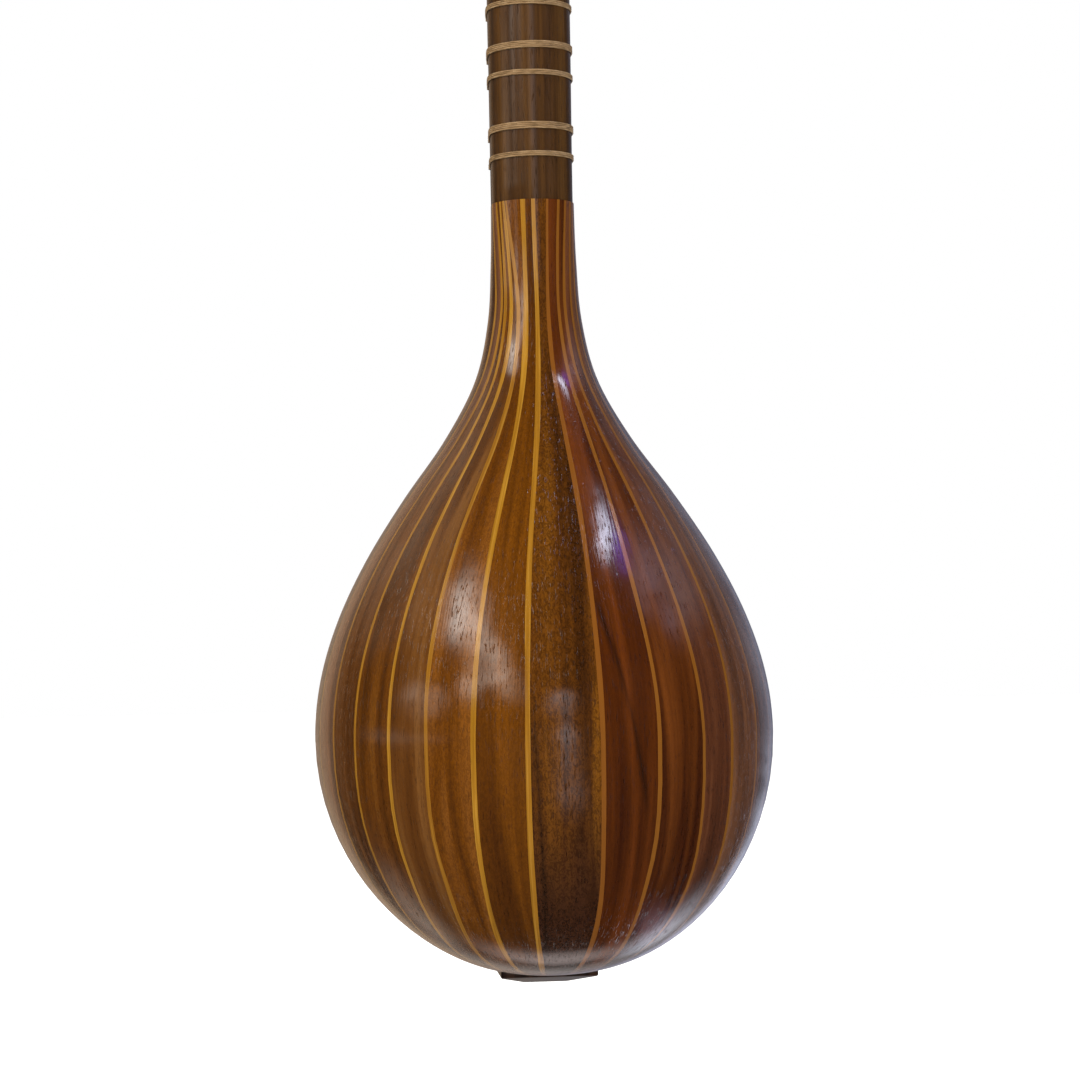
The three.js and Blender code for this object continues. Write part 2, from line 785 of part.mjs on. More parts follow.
// Tailpiece: a wedge under the tail with a stud for each string on its front
function buildTailpiece(group) {
  const block = extrudeAcross([
    [-tailpieceForward, 0],
    [tailpieceFoot, 0],
    [tailpieceBackward, poleZ - tailpieceEdge],
    [tailpieceBackward, poleZ + tailpieceRise],
    [-tailpieceForward, poleZ + tailpieceRise],
  ], tailpieceWidth);
  const ends = plateFrom(tailpieceShape(), -tailpieceForward - overrun, tailpieceBackward + overrun);
  const wedge = common(block, ends);
  const studs = studPlaces.map((x) => {
    const length = studLength + studRoot;
    const stud = new THREE.CylinderGeometry(studDiameter / 2, studDiameter / 2, length, studSides);
    return stud.translate(x, length / 2 - tailpieceForward - studLength, studHeight);
  });
  const outside = [bowlSolid(-cutGap, -glueGap), bowlSolid(0, -glueGap)];
  const aroundBoard = plateFrom(boardShape(cutGap), boardFront - overrun, 0);
  const solid = cut(wedge, ...outside, aroundBoard);
  addPart(group, 'tailpiece', join(solid, ...studs), hardWood);
}

// Pegs, as turned profiles along Y: Y = 0 at the head's face, the tip beyond it and the knob in front
function pegProfile(through) {
  const tip = through + pegTipStandout;
  const collar = -pegShank;
  const waist = collar - pegCollarThickness;
  const knobEnd = waist - pegKnobLength;
  return [
    [0, tip],
    [pegTipDiameter / 2, tip],
    [pegDiameter / 2, 0],
    [pegDiameter / 2, collar],
    [pegCollarDiameter / 2, collar],
    [pegCollarDiameter / 2, waist],
    [pegWaistDiameter / 2, waist],
    [pegKnobDiameter / 2, waist - pegKnobLength * knobBulgeShare],
    [(pegKnobDiameter / 2) * knobCloseDiameterShare, waist - pegKnobLength * knobCloseShare],
    [pegFinialDiameter / 2, knobEnd],
    [(pegFinialDiameter / 2) * finialTipShare, knobEnd - pegFinialLength],
    [0, knobEnd - pegFinialLength],
  ].map(([radius, along]) => new THREE.Vector2(radius, along));
}

function boreProfile(through) {
  const corner = Math.cos(Math.PI / pegSides);
  const taper = (pegDiameter - pegTipDiameter) / 2 / (through + pegTipStandout);
  const radiusAt = (along) => (pegDiameter / 2 - taper * along + runningGap) / corner;
  return [
    [0, through + overrun],
    [radiusAt(through + overrun), through + overrun],
    [radiusAt(-overrun), -overrun],
    [0, -overrun],
  ].map(([radius, along]) => new THREE.Vector2(radius, along));
}

// Where each peg stands: front pegs come in through the head's front, side pegs through its -X side
function pegSeats() {
  return Array.from({ length: pegCount }, (_, peg) => {
    const z = nutEndZ + firstPegRise + peg * pegSpacing;
    const { half, back } = headSize(z);
    if (peg % 2 === 0) {
      const x = frontPegPlaces[peg / 2];
      return { front: true, x, y: headRecess, z, through: back - headRecess };
    }
    return { front: false, x: -half, y: sidePegDepth, z, through: 2 * half };
  });
}

function placePeg(object, seat) {
  object.position.set(seat.x, seat.y, seat.z);
  if (!seat.front) object.rotation.z = -Math.PI / 2;
  return object;
}

const seats = pegSeats();
const pegNames = ['peg_front_lower', 'peg_side_lower', 'peg_front_upper', 'peg_side_upper'];

function boreOf(seat) {
  const bore = new THREE.Mesh(turned(boreProfile(seat.through), pegSides));
  placePeg(bore, seat).updateMatrixWorld();
  return bore.geometry.clone().applyMatrix4(bore.matrixWorld);
}

function buildPegs(group) {
  seats.forEach((seat, index) => {
    placePeg(addPart(group, pegNames[index], turned(pegProfile(seat.through), pegSides), hardWood), seat);
  });
}

// Strings: each one hooks round its stud, crosses the bridge and the nut and winds onto its peg

// The part of a string that hooks round its stud and leaves it towards the bridge
function hookPoints(x, diameter) {
  const radius = (studDiameter / 2 + runningGap + diameter / 2) / Math.cos(Math.PI / studSides);
  const y = -tailpieceForward - studLength / 2;
  return Array.from({ length: hookSteps + 1 }, (_, step) => {
    const angle = ((step / hookSteps) * 3 * Math.PI) / 2 + Math.PI / 2;
    return new THREE.Vector3(x + radius * Math.cos(angle), y, studHeight + radius * Math.sin(angle));
  });
}

// A string's turns round its peg. (u, v) is the plane across the peg, and w runs along it from the head.
function windingPoints(seat, from, diameter) {
  const corner = Math.cos(Math.PI / windingSteps);
  const radius = (pegDiameter / 2 + runningGap + diameter / Math.SQRT2) / corner;
  const pitch = diameter + windingGap;
  const centreU = seat.front ? seat.x : seat.y;
  const fromU = seat.front ? from.x : from.y;
  const away = Math.hypot(fromU - centreU, from.z - seat.z);
  const toward = Math.atan2(from.z - seat.z, fromU - centreU);
  const start = toward - Math.acos(radius / away);
  const count = windingTurns * windingSteps;
  return Array.from({ length: count + 1 }, (_, step) => {
    const angle = start - (2 * Math.PI * step) / windingSteps;
    const u = centreU + radius * Math.cos(angle);
    const z = seat.z + radius * Math.sin(angle);
    const w = windingStandoff + windingTurns * pitch - (pitch * step) / windingSteps;
    return seat.front ? new THREE.Vector3(u, seat.y - w, z) : new THREE.Vector3(seat.x - w, u, z);
  });
}

// The peg of each string, from the treble side
const pegOfString = [0, 2, 3, 1];
const stringNames = ['string_1_steel', 'string_2_brass', 'string_3_steel', 'string_4_bass'];
const stringLooks = [steel, brass, steel, brass];

function buildStrings(group) {
  stringNames.forEach((name, index) => {
    const diameter = stringDiameters[index];
    const seat = seats[pegOfString[index]];
    const nut = new THREE.Vector3(nutPlaces[index], nutStringY, nutEndZ);
    const bridge = new THREE.Vector3(bridgePlaces[index], bridgeStringY, bridgeZ);
    const winding = windingPoints(seat, nut, diameter);
    const gap = leastGap(winding, windingSteps, diameter);
    console.log(`${name}: least gap between turns ${gap.toFixed(3)} mm`);
    const points = [...hookPoints(studPlaces[index], diameter), bridge, nut, ...winding];
    addPart(group, name, tube(points, diameter), stringLooks[index]);
  });
}

// Tied frets

// Moves each side of an outline outwards, with mitred corners
function widen(outline, distance) {
  const count = outline.length;
  const normalFrom = (index) => {
    const [x1, y1] = outline[index % count];
    const [x2, y2] = outline[(index + 1) % count];
    return new THREE.Vector2(y2 - y1, x1 - x2).normalize();
  };
  return outline.map(([x, y], index) => {
    const before = normalFrom(index + count - 1);
    const after = normalFrom(index);
    const shift = before.clone().add(after).multiplyScalar(distance / (1 + before.dot(after)));
    return [x + shift.x, y + shift.y];
  });
}

// Gut wound round neck and fingerboard. The turns lie side by side, and step on along the -X side.
function fretGeometry(turns) {
  const outline = neckLoop(boardFront);
  const inner = widen(outline, runningGap);
  const outer = widen(outline, runningGap + gutRise);
  const middle = widen(outline, runningGap + gutRise / 2);
  const loops = [];
  const line = [];
  for (let turn = 0; turn < turns; turn += 1) {
    const z = (turn - (turns - 1) / 2) * gutPitch;
    outline.forEach((_, corner) => {
      const low = z - gutWidth / 2;
      const high = z + gutWidth / 2;
      loops.push([
        new THREE.Vector3(...inner[corner], low),
        new THREE.Vector3(...outer[corner], low),
        new THREE.Vector3(...outer[corner], high),
        new THREE.Vector3(...inner[corner], high),
      ]);
      line.push(new THREE.Vector3(...middle[corner], z));
    });
  }
  const gap = leastGap(line, outline.length, gutWidth);
  console.log(`fret of ${turns} turns: least gap between turns ${gap.toFixed(3)} mm`);
  return loft(loops);
}

// Frets are tied round the neck only, so a note whose place lies on the bowl has none
function buildFrets(group) {
  const narrow = fretGeometry(fretTurns);
  const wide = fretGeometry(wideFretTurns);
  const placeOf = (cents) => nutZ - stringLength * (1 - 2 ** (-cents / centsPerOctave));
  const tied = fretCents.filter((cents) => placeOf(cents) > jointZ + lastFretClearance);
  tied.forEach((cents, index) => {
    const name = `fret_${String(index + 1).padStart(2, '0')}`;
    const fret = addPart(group, name, wideFretCents.includes(cents) ? wide : narrow, gut);
    fret.position.z = placeOf(cents);
  });
}

const bowl = new THREE.Group();
const neck = new THREE.Group();
const stringing = new THREE.Group();
setar.add(bowl, neck, stringing);
buildRibs(bowl);
buildFillets(bowl);
buildSoundboard(bowl);
buildInside(bowl);
buildTailpiece(bowl);
buildNeck(neck, seats.map(boreOf));
buildNut(neck);
buildFrets(neck);
buildBridge(stringing);
buildPegs(stringing);
buildStrings(stringing);

export default setar;
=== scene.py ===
# A setar seen from behind: a bowl of walnut ribs, a neck with tied gut frets, pegs and strings.
# Metres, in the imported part's frame: +Z up the neck, -Y out of the soundboard, +Y out of the bowl's back.
import json
import math
import random
import bmesh
import bpy
import numpy as np
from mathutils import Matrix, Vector


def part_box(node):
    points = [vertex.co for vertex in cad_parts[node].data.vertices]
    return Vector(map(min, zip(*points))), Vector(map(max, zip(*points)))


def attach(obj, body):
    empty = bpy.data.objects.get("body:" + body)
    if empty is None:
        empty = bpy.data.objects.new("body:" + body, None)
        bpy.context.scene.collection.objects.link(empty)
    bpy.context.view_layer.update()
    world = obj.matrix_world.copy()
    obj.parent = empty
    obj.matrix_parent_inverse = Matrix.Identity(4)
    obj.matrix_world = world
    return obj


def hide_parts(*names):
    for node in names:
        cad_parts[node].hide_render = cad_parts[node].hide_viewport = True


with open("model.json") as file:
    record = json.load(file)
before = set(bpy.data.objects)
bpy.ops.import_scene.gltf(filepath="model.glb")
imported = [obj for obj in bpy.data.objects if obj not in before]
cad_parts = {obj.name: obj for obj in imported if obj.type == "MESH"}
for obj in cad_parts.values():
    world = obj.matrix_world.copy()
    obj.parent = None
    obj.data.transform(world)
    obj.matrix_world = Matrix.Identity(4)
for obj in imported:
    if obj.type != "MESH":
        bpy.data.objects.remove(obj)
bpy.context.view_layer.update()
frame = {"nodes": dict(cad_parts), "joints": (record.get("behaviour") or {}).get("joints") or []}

scene = bpy.context.scene
nodes = frame["nodes"]
print("frame loaded:", len(nodes), "nodes")

# Sizes of the bowl, the same as in the part
bowl = {
    "length": 0.270,
    "width": 0.160,
    "depth": 0.115,
    "widestHeight": 0.083,
    "tailZ": 0.005,
    "wall": 0.003,
    "centralRib": 0.0245,
    "sideRibs": 8,
    "fillet": 0.0019,
    "filletShare": 0.3,
    "seamAxis": 0.010,
    "frontReach": 0.038,
    "backFullness": 0.5,
    "widthShares": [1, 0.965, 0.865, 0.708, 0.505, 0.277, 0.106, 0.03, 0.007, 0],
    "depthShares": [1, 0.972, 0.874, 0.724, 0.534, 0.322, 0.132, 0.0345, 0.0046, 0],
    "ringShares": (0.05, 0.08),
    "tailSteps": 10,
    "boardSteps": 26,
    "upperSteps": 64,
    "boardCrowding": 0.9,
}
neck = {
    "width": 0.0292,
    "depth": 0.028,
    "boardThickness": 0.0026,
    "glue": 0.00005,
    # The neck was scraped a little thinner where it meets the bowl
    "jointInset": 0.00035,
    "jointFade": 0.07,
}

tailZ = bowl["tailZ"]
jointZ = tailZ + bowl["length"]
neckHalf = neck["width"] / 2
widestY = neck["depth"] - neckHalf
neckFrontHalf = neckHalf * math.sqrt(1 - (widestY / bowl["frontReach"]) ** 2)
boardFront = -(neck["boardThickness"] + neck["glue"])
boardEdge = bowl["seamAxis"] / (bowl["frontReach"] - widestY + bowl["seamAxis"])
nutLow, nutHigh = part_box("nut")
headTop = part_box("neck")[1].z


def mix(a, b, t):
    return a + (b - a) * t


def smooth(t):
    t = min(max(t, 0.0), 1.0)
    return t * t * (3 - 2 * t)


def evenly(low, high, steps):
    # from low to high in equal steps, both ends included
    return [mix(low, high, i / steps) for i in range(steps + 1)]


def hermite(start, end, startSlope, endSlope, t):
    return (start * (2 * t**3 - 3 * t**2 + 1) + startSlope * (t**3 - 2 * t**2 + t)
            + end * (3 * t**2 - 2 * t**3) + endSlope * (t**3 - t**2))


def shareAt(shares, along):
    # smooth curve through evenly spaced shares, level at its start
    last = len(shares) - 1
    place = along * last
    low = min(int(place), last - 1)
    startSlope = (shares[low + 1] - shares[abs(low - 1)]) / 2
    endSlope = (shares[min(low + 2, last)] - shares[low]) / 2
    return hermite(shares[low], shares[low + 1], startSlope, endSlope, place - low)


def runningLengths(points):
    lengths = [0.0]
    for a, b in zip(points, points[1:]):
        lengths.append(lengths[-1] + (b - a).length)
    return lengths


def sectionSize(rise, inset):
    half = neckHalf + (bowl["width"] / 2 - neckHalf) * shareAt(bowl["widthShares"], rise) - inset
    depth = neck["depth"] + (bowl["depth"] - neck["depth"]) * shareAt(bowl["depthShares"], rise) - inset
    return half, depth


def outlineDistance(angle, rise, inset):
    # from the seam axis to the section's outline, at an angle from the back
    half, depth = sectionSize(rise, inset)
    across = math.sin(angle)
    back = math.cos(angle)
    offset = bowl["seamAxis"] - widestY
    for reach in (depth - widestY, bowl["frontReach"] - inset):
        a = (across / half) ** 2 + (back / reach) ** 2
        b = back * offset / reach**2
        c = (offset / reach) ** 2 - 1
        distance = (math.sqrt(b * b - a * c) - b) / a
        if offset + distance * back >= 0:
            return distance
    return distance


def bowlPoint(station, angle, inset):
    reach, rise = station
    distance = outlineDistance(angle, rise, inset) * reach
    exponent = 2 + bowl["backFullness"] * max(0.0, math.cos(angle)) ** 2
    fall = max(0.0, 1 - reach**exponent) ** (1 / exponent)
    z = tailZ + inset + (bowl["widestHeight"] - inset) * (1 - fall)
    z += rise * (bowl["length"] - bowl["widestHeight"])
    return Vector((distance * math.sin(angle), bowl["seamAxis"] + distance * math.cos(angle), z))


def frontAngle(station, inset):
    # where the section meets the soundboard, or the half turn below the soundboard's edge
    reach, rise = station
    half = sectionSize(rise, inset)[0]
    behind = bowl["seamAxis"] / reach
    drop = (widestY - bowl["seamAxis"] + behind) / (bowl["frontReach"] - inset)
    if drop >= 1:
        return math.pi
    return math.atan2(half * math.sqrt(1 - drop * drop), -behind)


def arcPerRadian(station, angle, inset):
    step = 0.01
    length = (bowlPoint(station, angle + step, inset) - bowlPoint(station, angle - step, inset)).length
    return length / (2 * step)


def stationList():
    low = bowl["ringShares"][1]
    stations = [(mix(low, boardEdge, i / bowl["tailSteps"]), 0.0) for i in range(bowl["tailSteps"])]
    for i in range(bowl["boardSteps"]):
        t = i / bowl["boardSteps"]
        # close together at the soundboard's lower edge and again towards the widest place
        crowded = math.sin(t * t * math.pi / 2) ** bowl["boardCrowding"]
        stations.append((mix(boardEdge, 1.0, crowded), 0.0))
    for i in range(bowl["upperSteps"] + 1):
        stations.append((1.0, i / bowl["upperSteps"]))
    return stations


def seamAngles():
    # the central rib is the widest, and the side ribs share the rest of the widest section's arc
    steps = 1000
    widest = (1.0, 0.0)
    end = frontAngle(widest, 0)
    arcs = runningLengths([bowlPoint(widest, end * i / steps, 0) for i in range(steps + 1)])
    sideWidth = (arcs[-1] - bowl["centralRib"] / 2) / bowl["sideRibs"]
    side = []
    for seam in range(bowl["sideRibs"]):
        wanted = bowl["centralRib"] / 2 + seam * sideWidth
        side.append(end * next(i for i, arc in enumerate(arcs) if arc >= wanted) / steps)
    return [-angle for angle in reversed(side)] + side


stations = stationList()
seams = seamAngles()
seamPitch = seams[-1] - seams[-2]
ribCount = len(seams) + 1

# The ribs as fitted: each seam leaves its even place by these shares of a rib, at six places
# between the tail and the joint, where 1 is the widest place and 2 the joint
handFit = {
    "places": [0.6, 0.88, 1.0, 1.35, 1.77, 2.0],
    "shares": [
        [0, 0, 0, 0, 0, 0],
        [0, 0, 0, 0, -0.1, -0.3],
        [0, 0, -0.02, 0, -0.15, -0.6],
        [0, 0, 0, 0, -0.15, -0.8],
        [0, 0, 0.06, 0.05, -0.13, -0.95],
        [0, -0.1, -0.05, 0.07, -0.12, -0.95],
        [0, 0.06, 0, 0.05, -0.33, -0.85],
        [0, 0.03, 0.07, 0.05, -0.2, -0.45],
        [0, 0.03, 0.05, 0, -0.37, -0.3],
        [0, 0.03, 0.06, -0.05, -0.34, -0.13],
        [0, -0.07, 0.03, -0.04, -0.55, 0.85],
        [0, -0.1, -0.03, -0.12, -0.7, 0.18],
        [0, 0, 0.07, -0.1, -1.0, -0.15],
        [0, 0, 0.04, -0.03, -1.45, -0.4],
        [0, 0, 0.09, 0, -1.5, -0.45],
        [0, 0, 0, 0, -1.0, -0.35],
    ],
    # towards the joint a fillet is this much wider or narrower than the usual one
    "jointWidths": [1, 1, 0.9, 0.8, 0.8, 0.9, 0.9, 0.8, 1.1, 1.4, 1, 1.25, 0.9, 1, 1, 1],
    "jointFrom": 0.5,
    # the fillets show a little narrower than they were sawn, and the two beside the central rib less so
    "widthShares": [0.78] * 7 + [0.84, 0.9, 0.9, 0.82] + [0.78] * 5,
    # each fillet wanders this far from its line and from its width, this often along the bowl
    "wander": 0.00013,
    "swell": 0.10,
    "waves": 11,
    "swellPace": 1.7,
    "seamPhase": 2.1,
}


def curveThrough(places, values, x):
    # smooth curve through unevenly spaced points
    x = min(max(x, places[0]), places[-1])
    low = max(k for k in range(len(places) - 1) if places[k] <= x)
    span = places[low + 1] - places[low]
    slopes = []
    for k in (low, low + 1):
        a = max(k - 1, 0)
        b = min(k + 1, len(places) - 1)
        slopes.append((values[b] - values[a]) / (places[b] - places[a]) * span)
    return hermite(values[low], values[low + 1], *slopes, (x - places[low]) / span)


def seamAt(station, seam):
    return seams[seam] + seamPitch * curveThrough(handFit["places"], handFit["shares"][seam], sum(station))


def filletSide(station, seam, side, inset):
    angle = seamAt(station, seam)
    arc = arcPerRadian(station, angle, 0)
    width = min(bowl["fillet"] * handFit["widthShares"][seam], bowl["filletShare"] * arc * seamPitch)
    jointFrom = handFit["jointFrom"]
    width *= mix(1, handFit["jointWidths"][seam], smooth((station[1] - jointFrom) / (1 - jointFrom)))
    phase = handFit["waves"] * sum(station) + handFit["seamPhase"] * seam
    width *= 1 + handFit["swell"] * math.sin(handFit["swellPace"] * phase)
    angle += handFit["wander"] * math.sin(phase) * station[0] / arc
    return angle + side * (width / 2) / arcPerRadian(station, angle, inset)


# Meshes. Edges sharper than these angles, in degrees, stay sharp in the shading
sharpAngle = 35
roundSharp = 60


def shadeSmooth(mesh, sharp):
    mesh.polygons.foreach_set("use_smooth", [True] * len(mesh.polygons))
    mesh.set_sharp_from_angle(angle=math.radians(sharp))


def meshObject(name, points, faces, sharp=sharpAngle):
    mesh = bpy.data.meshes.new(name)
    mesh.from_pydata([tuple(p) for p in points], [], faces)
    work = bmesh.new()
    work.from_mesh(mesh)
    bmesh.ops.recalc_face_normals(work, faces=work.faces)
    work.to_mesh(mesh)
    work.free()
    shadeSmooth(mesh, sharp)
    piece = bpy.data.objects.new(name, mesh)
    scene.collection.objects.link(piece)
    return piece


def wallMesh(name, outer, inner, filled=lambda s, c: True):
    # a curved wall between two grids of points, [station][column]
    rows = len(outer)
    columns = len(outer[0])
    points = [p for grid in (outer, inner) for row in grid for p in row]

    def at(corner, side):
        s, c = corner
        return (side * rows + s) * columns + c

    def has(s, c):
        return 0 <= s < rows - 1 and 0 <= c < columns - 1 and filled(s, c)

    faces = []
    for s in range(rows - 1):
        for c in range(columns - 1):
            if not has(s, c):
                continue
            corners = [(s, c), (s, c + 1), (s + 1, c + 1), (s + 1, c)]
            beyond = [(s - 1, c), (s, c + 1), (s + 1, c), (s, c - 1)]
            faces.append([at(corner, 0) for corner in corners])
            faces.append([at(corner, 1) for corner in reversed(corners)])
            for a, b, neighbour in zip(corners, corners[1:] + corners[:1], beyond):
                # where the wall ends, a narrow face joins its two sides
                if not has(*neighbour):
                    faces.append([at(a, 1), at(b, 1), at(b, 0), at(a, 0)])
    used = sorted({i for face in faces for i in face})
    index = {old: new for new, old in enumerate(used)}
    piece = meshObject(name, [points[i] for i in used], [[index[i] for i in face] for face in faces])
    return piece, used


def loftMesh(name, loops, sharp=sharpAngle):
    count = len(loops[0])
    last = (len(loops) - 1) * count
    faces = []
    for start in range(0, last, count):
        for i in range(count):
            j = (i + 1) % count
            faces.append((start + i, start + j, start + count + j, start + count + i))
    faces.append(tuple(reversed(range(count))))
    faces.append(tuple(range(last, last + count)))
    return meshObject(name, [p for loop in loops for p in loop], faces, sharp)


def prism(name, outline, low, high):
    # an outline in X and Y, extruded along Z
    return loftMesh(name, [[Vector((x, y, z)) for x, y in outline] for z in (low, high)])


def rectangle(half, front, back):
    return [(-half, front), (half, front), (half, back), (-half, back)]


def circle(sides):
    angles = [2 * math.pi * i / sides for i in range(sides)]
    return [(math.cos(angle), math.sin(angle)) for angle in angles]


def turnedLoops(profile, sides, place):
    # profile of (radius, along); place turns two distances across and one along into a point
    return [[place(radius * a, radius * b, along) for a, b in circle(sides)] for radius, along in profile]


def tubeLoops(path, radius, sides):
    # rings along a path, carried on without twist
    loops = []
    side = None
    for before, point, after in zip(path[:1] + path, path, path[1:] + path[-1:]):
        heading = (after - before).normalized()
        if side is None:
            side = heading.orthogonal().normalized()
        side = (side - heading * side.dot(heading)).normalized()
        up = heading.cross(side)
        loops.append([point + side * (radius * a) + up * (radius * b) for a, b in circle(sides)])
    return loops


def joinMeshes(name, pieces):
    bpy.ops.object.select_all(action="DESELECT")
    for piece in pieces:
        piece.select_set(True)
    bpy.context.view_layer.objects.active = pieces[0]
    bpy.ops.object.join()
    pieces[0].name = name
    pieces[0].data.name = name
    return pieces[0]


def applyModifier(piece, kind, **settings):
    modifier = piece.modifiers.new(kind.lower(), kind)
    for name, value in settings.items():
        setattr(modifier, name, value)
    bpy.context.view_layer.update()
    shaped = bpy.data.meshes.new_from_object(piece.evaluated_get(bpy.context.evaluated_depsgraph_get()))
    piece.modifiers.clear()
    old = piece.data
    piece.data = shaped
    bpy.data.meshes.remove(old)


def combine(piece, operation, *tools):
    for tool in tools:
        applyModifier(piece, "BOOLEAN", object=tool, operation=operation, solver="EXACT")
        bpy.data.objects.remove(tool)


def softenEdges(piece, width, segments=2, sharp=sharpAngle):
    applyModifier(piece, "BEVEL", width=width, segments=segments, limit_method="ANGLE",
                  angle_limit=math.radians(sharp), harden_normals=False)
    shadeSmooth(piece.data, sharp)


def setLayer(piece, name, values, kind="FLOAT"):
    layer = piece.data.attributes.new(name, kind, "POINT")
    layer.data.foreach_set("value" if kind == "FLOAT" else "vector", np.array(values, np.float32).ravel())


# Materials


def toLinear(colour):
    channels = [int(colour[i:i + 2], 16) / 255 for i in (1, 3, 5)]
    return [c / 12.92 if c <= 0.04045 else ((c + 0.055) / 1.055) ** 2.4 for c in channels] + [1.0]


def setSockets(tree, node, sockets):
    # a socket gets a value, or a link from the output of another node
    for socket, value in sockets.items():
        if isinstance(value, bpy.types.NodeSocket):
            tree.links.new(value, node.inputs[socket])
        else:
            node.inputs[socket].default_value = value


def addNode(tree, kind, sockets=None, stops=(), **settings):
    node = tree.nodes.new("ShaderNode" + kind)
    for name, value in settings.items():
        setattr(node, name, value)
    if stops:
        while len(node.color_ramp.elements) < len(stops):
            node.color_ramp.elements.new(0.5)
        for element, (position, colour) in zip(node.color_ramp.elements, stops):
            element.position = position
            element.color = toLinear(colour)
    setSockets(tree, node, sockets or {})
    return node


def emptyTree(owner):
    owner.use_nodes = True
    owner.node_tree.nodes.clear()
    return owner.node_tree


def startMaterial(name):
    material = bpy.data.materials.new(name)
    tree = emptyTree(material)
    shader = addNode(tree, "BsdfPrincipled")
    addNode(tree, "OutputMaterial", {"Surface": shader.outputs["BSDF"]})
    return material, tree, shader


# Which values of a noise count as its pattern, how ragged a vein is and where it fades, in shares of its
# width and of its length, and how the finish follows the grain
grain = {
    "shades": (0.34, 0.52, 0.68),
    "fibres": (0.3, 0.7),
    "figure": (0.42, 0.6),
    "pores": (0.6, 0.7),
    "dents": (0.6, 0.72),
    "coarseness": 0.55,
    "bend": 0.2,
    "lowerWave": 0.03,
    "veinRagged": 1.2,
    "veinSide": (1.3, 0.4),
    "veinEnds": (0.55, 0.35),
    "fibreDepth": 0.00001,
    "glossRange": (-0.05, 0.06),
    "ior": 1.5,
}
alongNeck = (math.radians(-90), 0, 0)


def veinShare(tree, origin, bands, streak):
    # a dark vein of heartwood between two places on the piece
    (x0, y0), (x1, y1) = streak["from"], streak["to"]
    split = addNode(tree, "SeparateXYZ", {"Vector": origin}).outputs
    lean = addNode(tree, "MapRange", {"Value": split["Y"], "From Min": y0, "From Max": y1,
                                      "To Min": x0, "To Max": x1}).outputs[0]
    off = addNode(tree, "Math", {0: split["X"], 1: lean}, operation="SUBTRACT").outputs[0]
    off = addNode(tree, "Math", {0: off}, operation="ABSOLUTE").outputs[0]
    ragged = streak["width"] * grain["veinRagged"]
    ragged = addNode(tree, "Math", {0: bands, 1: ragged}, operation="MULTIPLY").outputs[0]
    off = addNode(tree, "Math", {0: off, 1: ragged}, operation="ADD").outputs[0]
    outside, inside = [streak["width"] * share for share in grain["veinSide"]]
    within = addNode(tree, "MapRange", {"Value": off, "From Min": outside, "From Max": inside},
                     interpolation_type="SMOOTHSTEP").outputs[0]
    away = addNode(tree, "Math", {0: split["Y"], 1: (y0 + y1) / 2}, operation="SUBTRACT").outputs[0]
    away = addNode(tree, "Math", {0: away}, operation="ABSOLUTE").outputs[0]
    outside, inside = [abs(y1 - y0) * share for share in grain["veinEnds"]]
    ends = addNode(tree, "MapRange", {"Value": away, "From Min": outside, "From Max": inside},
                   interpolation_type="SMOOTHSTEP").outputs[0]
    both = addNode(tree, "Math", {0: within, 1: ends}, operation="MULTIPLY").outputs[0]
    return addNode(tree, "Math", {0: both, 1: streak["strength"]}, operation="MULTIPLY").outputs[0]


